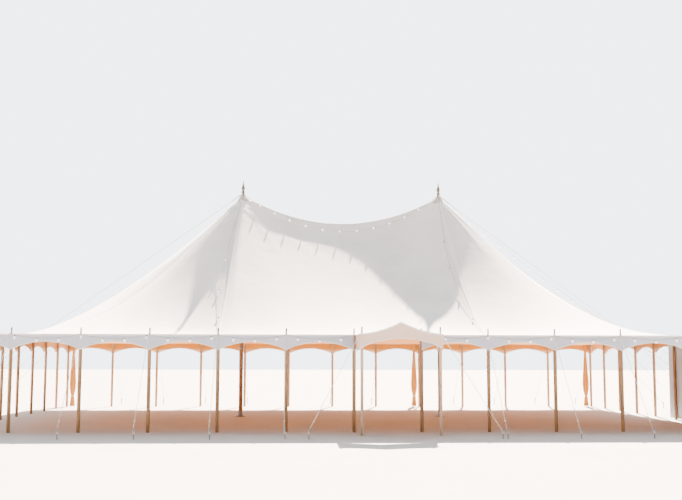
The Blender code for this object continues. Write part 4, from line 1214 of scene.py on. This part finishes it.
def camera():
    """The photograph's view: a 53 mm lens at eye height in front of the left half, tilted up a little."""
    pitch, yaw, roll = CAMERA_PITCH, CAMERA_YAW, CAMERA_ROLL
    forward = Vector((math.sin(yaw) * math.cos(pitch), math.cos(yaw) * math.cos(pitch), math.sin(pitch)))
    level = Vector((math.cos(yaw), -math.sin(yaw), 0))
    upright = level.cross(forward)
    right = math.cos(roll) * level + math.sin(roll) * upright
    up = math.cos(roll) * upright - math.sin(roll) * level
    cam = added("camera", bpy.data.cameras.new("camera"))
    cam.data.sensor_width = SENSOR
    cam.data.lens = FOCAL * SENSOR / PHOTO_WIDTH
    cam.data.clip_end = 300
    rows = [(right[k], up[k], -forward[k], CAMERA_SPOT[k]) for k in range(3)]
    cam.matrix_world = Matrix((*rows, (0, 0, 0, 1)))
    bpy.context.scene.camera = cam


def studio():
    """A plain pale floor, a pale surround and a broad light from behind, a little to the right."""
    world = bpy.data.worlds.new("surround")
    world.use_nodes = True
    sky = world.node_tree
    facing = node(sky, "ShaderNodeSeparateXYZ", Vector=coordinates(sky, "Generated")).outputs["Y"]
    glow = ranged(sky, facing, SKY_FRONT, SKY_BACK, -0.2, 0.9)
    dress(sky, sky.nodes["Background"], Color=SKY_COLOUR, Strength=glow)
    bpy.context.scene.world = world

    light = added("broad light", bpy.data.lights.new("broad light", "SUN"))
    light.data.energy, light.data.color, light.data.angle = SUN_POWER, SUN_COLOUR, SUN_SPREAD
    level = math.cos(SUN_HEIGHT)
    behind = Vector((math.sin(SUN_TURN) * level, math.cos(SUN_TURN) * level, math.sin(SUN_HEIGHT)))
    light.rotation_mode = "QUATERNION"
    light.rotation_quaternion = (-behind).to_track_quat("-Z", "Y")

    mesh = bpy.data.meshes.new("floor")
    corners = [(x * FLOOR_HALF, y * FLOOR_HALF, 0) for x, y in ((-1, -1), (1, -1), (1, 1), (-1, 1))]
    mesh.from_pydata(corners, [], [(0, 1, 2, 3)])
    made, tree, surface = tree_of("pale floor")
    tone = ramp(tree, noise(tree, place(tree), 0.6, 2.0), (0.3, (0.5, 0.485, 0.46)), (0.7, (0.54, 0.525, 0.495)))
    dress(tree, surface, Base_Color=tone, Roughness=0.9)
    mesh.materials.append(made)
    added("floor", mesh)


camera()
studio()
canopy()
valances()
side_poles()
guy_ropes()
peaks()
wall_panel()
curtain("curtain_back_left", -HALF_LENGTH + CURTAIN_STEP, SEED)
curtain("curtain_back_middle", 2 * BAY_LENGTH - CURTAIN_STEP, SEED + 1)
curtain("curtain_back_right", HALF_LENGTH - CURTAIN_STEP, SEED + 2)
awning()
festoons()
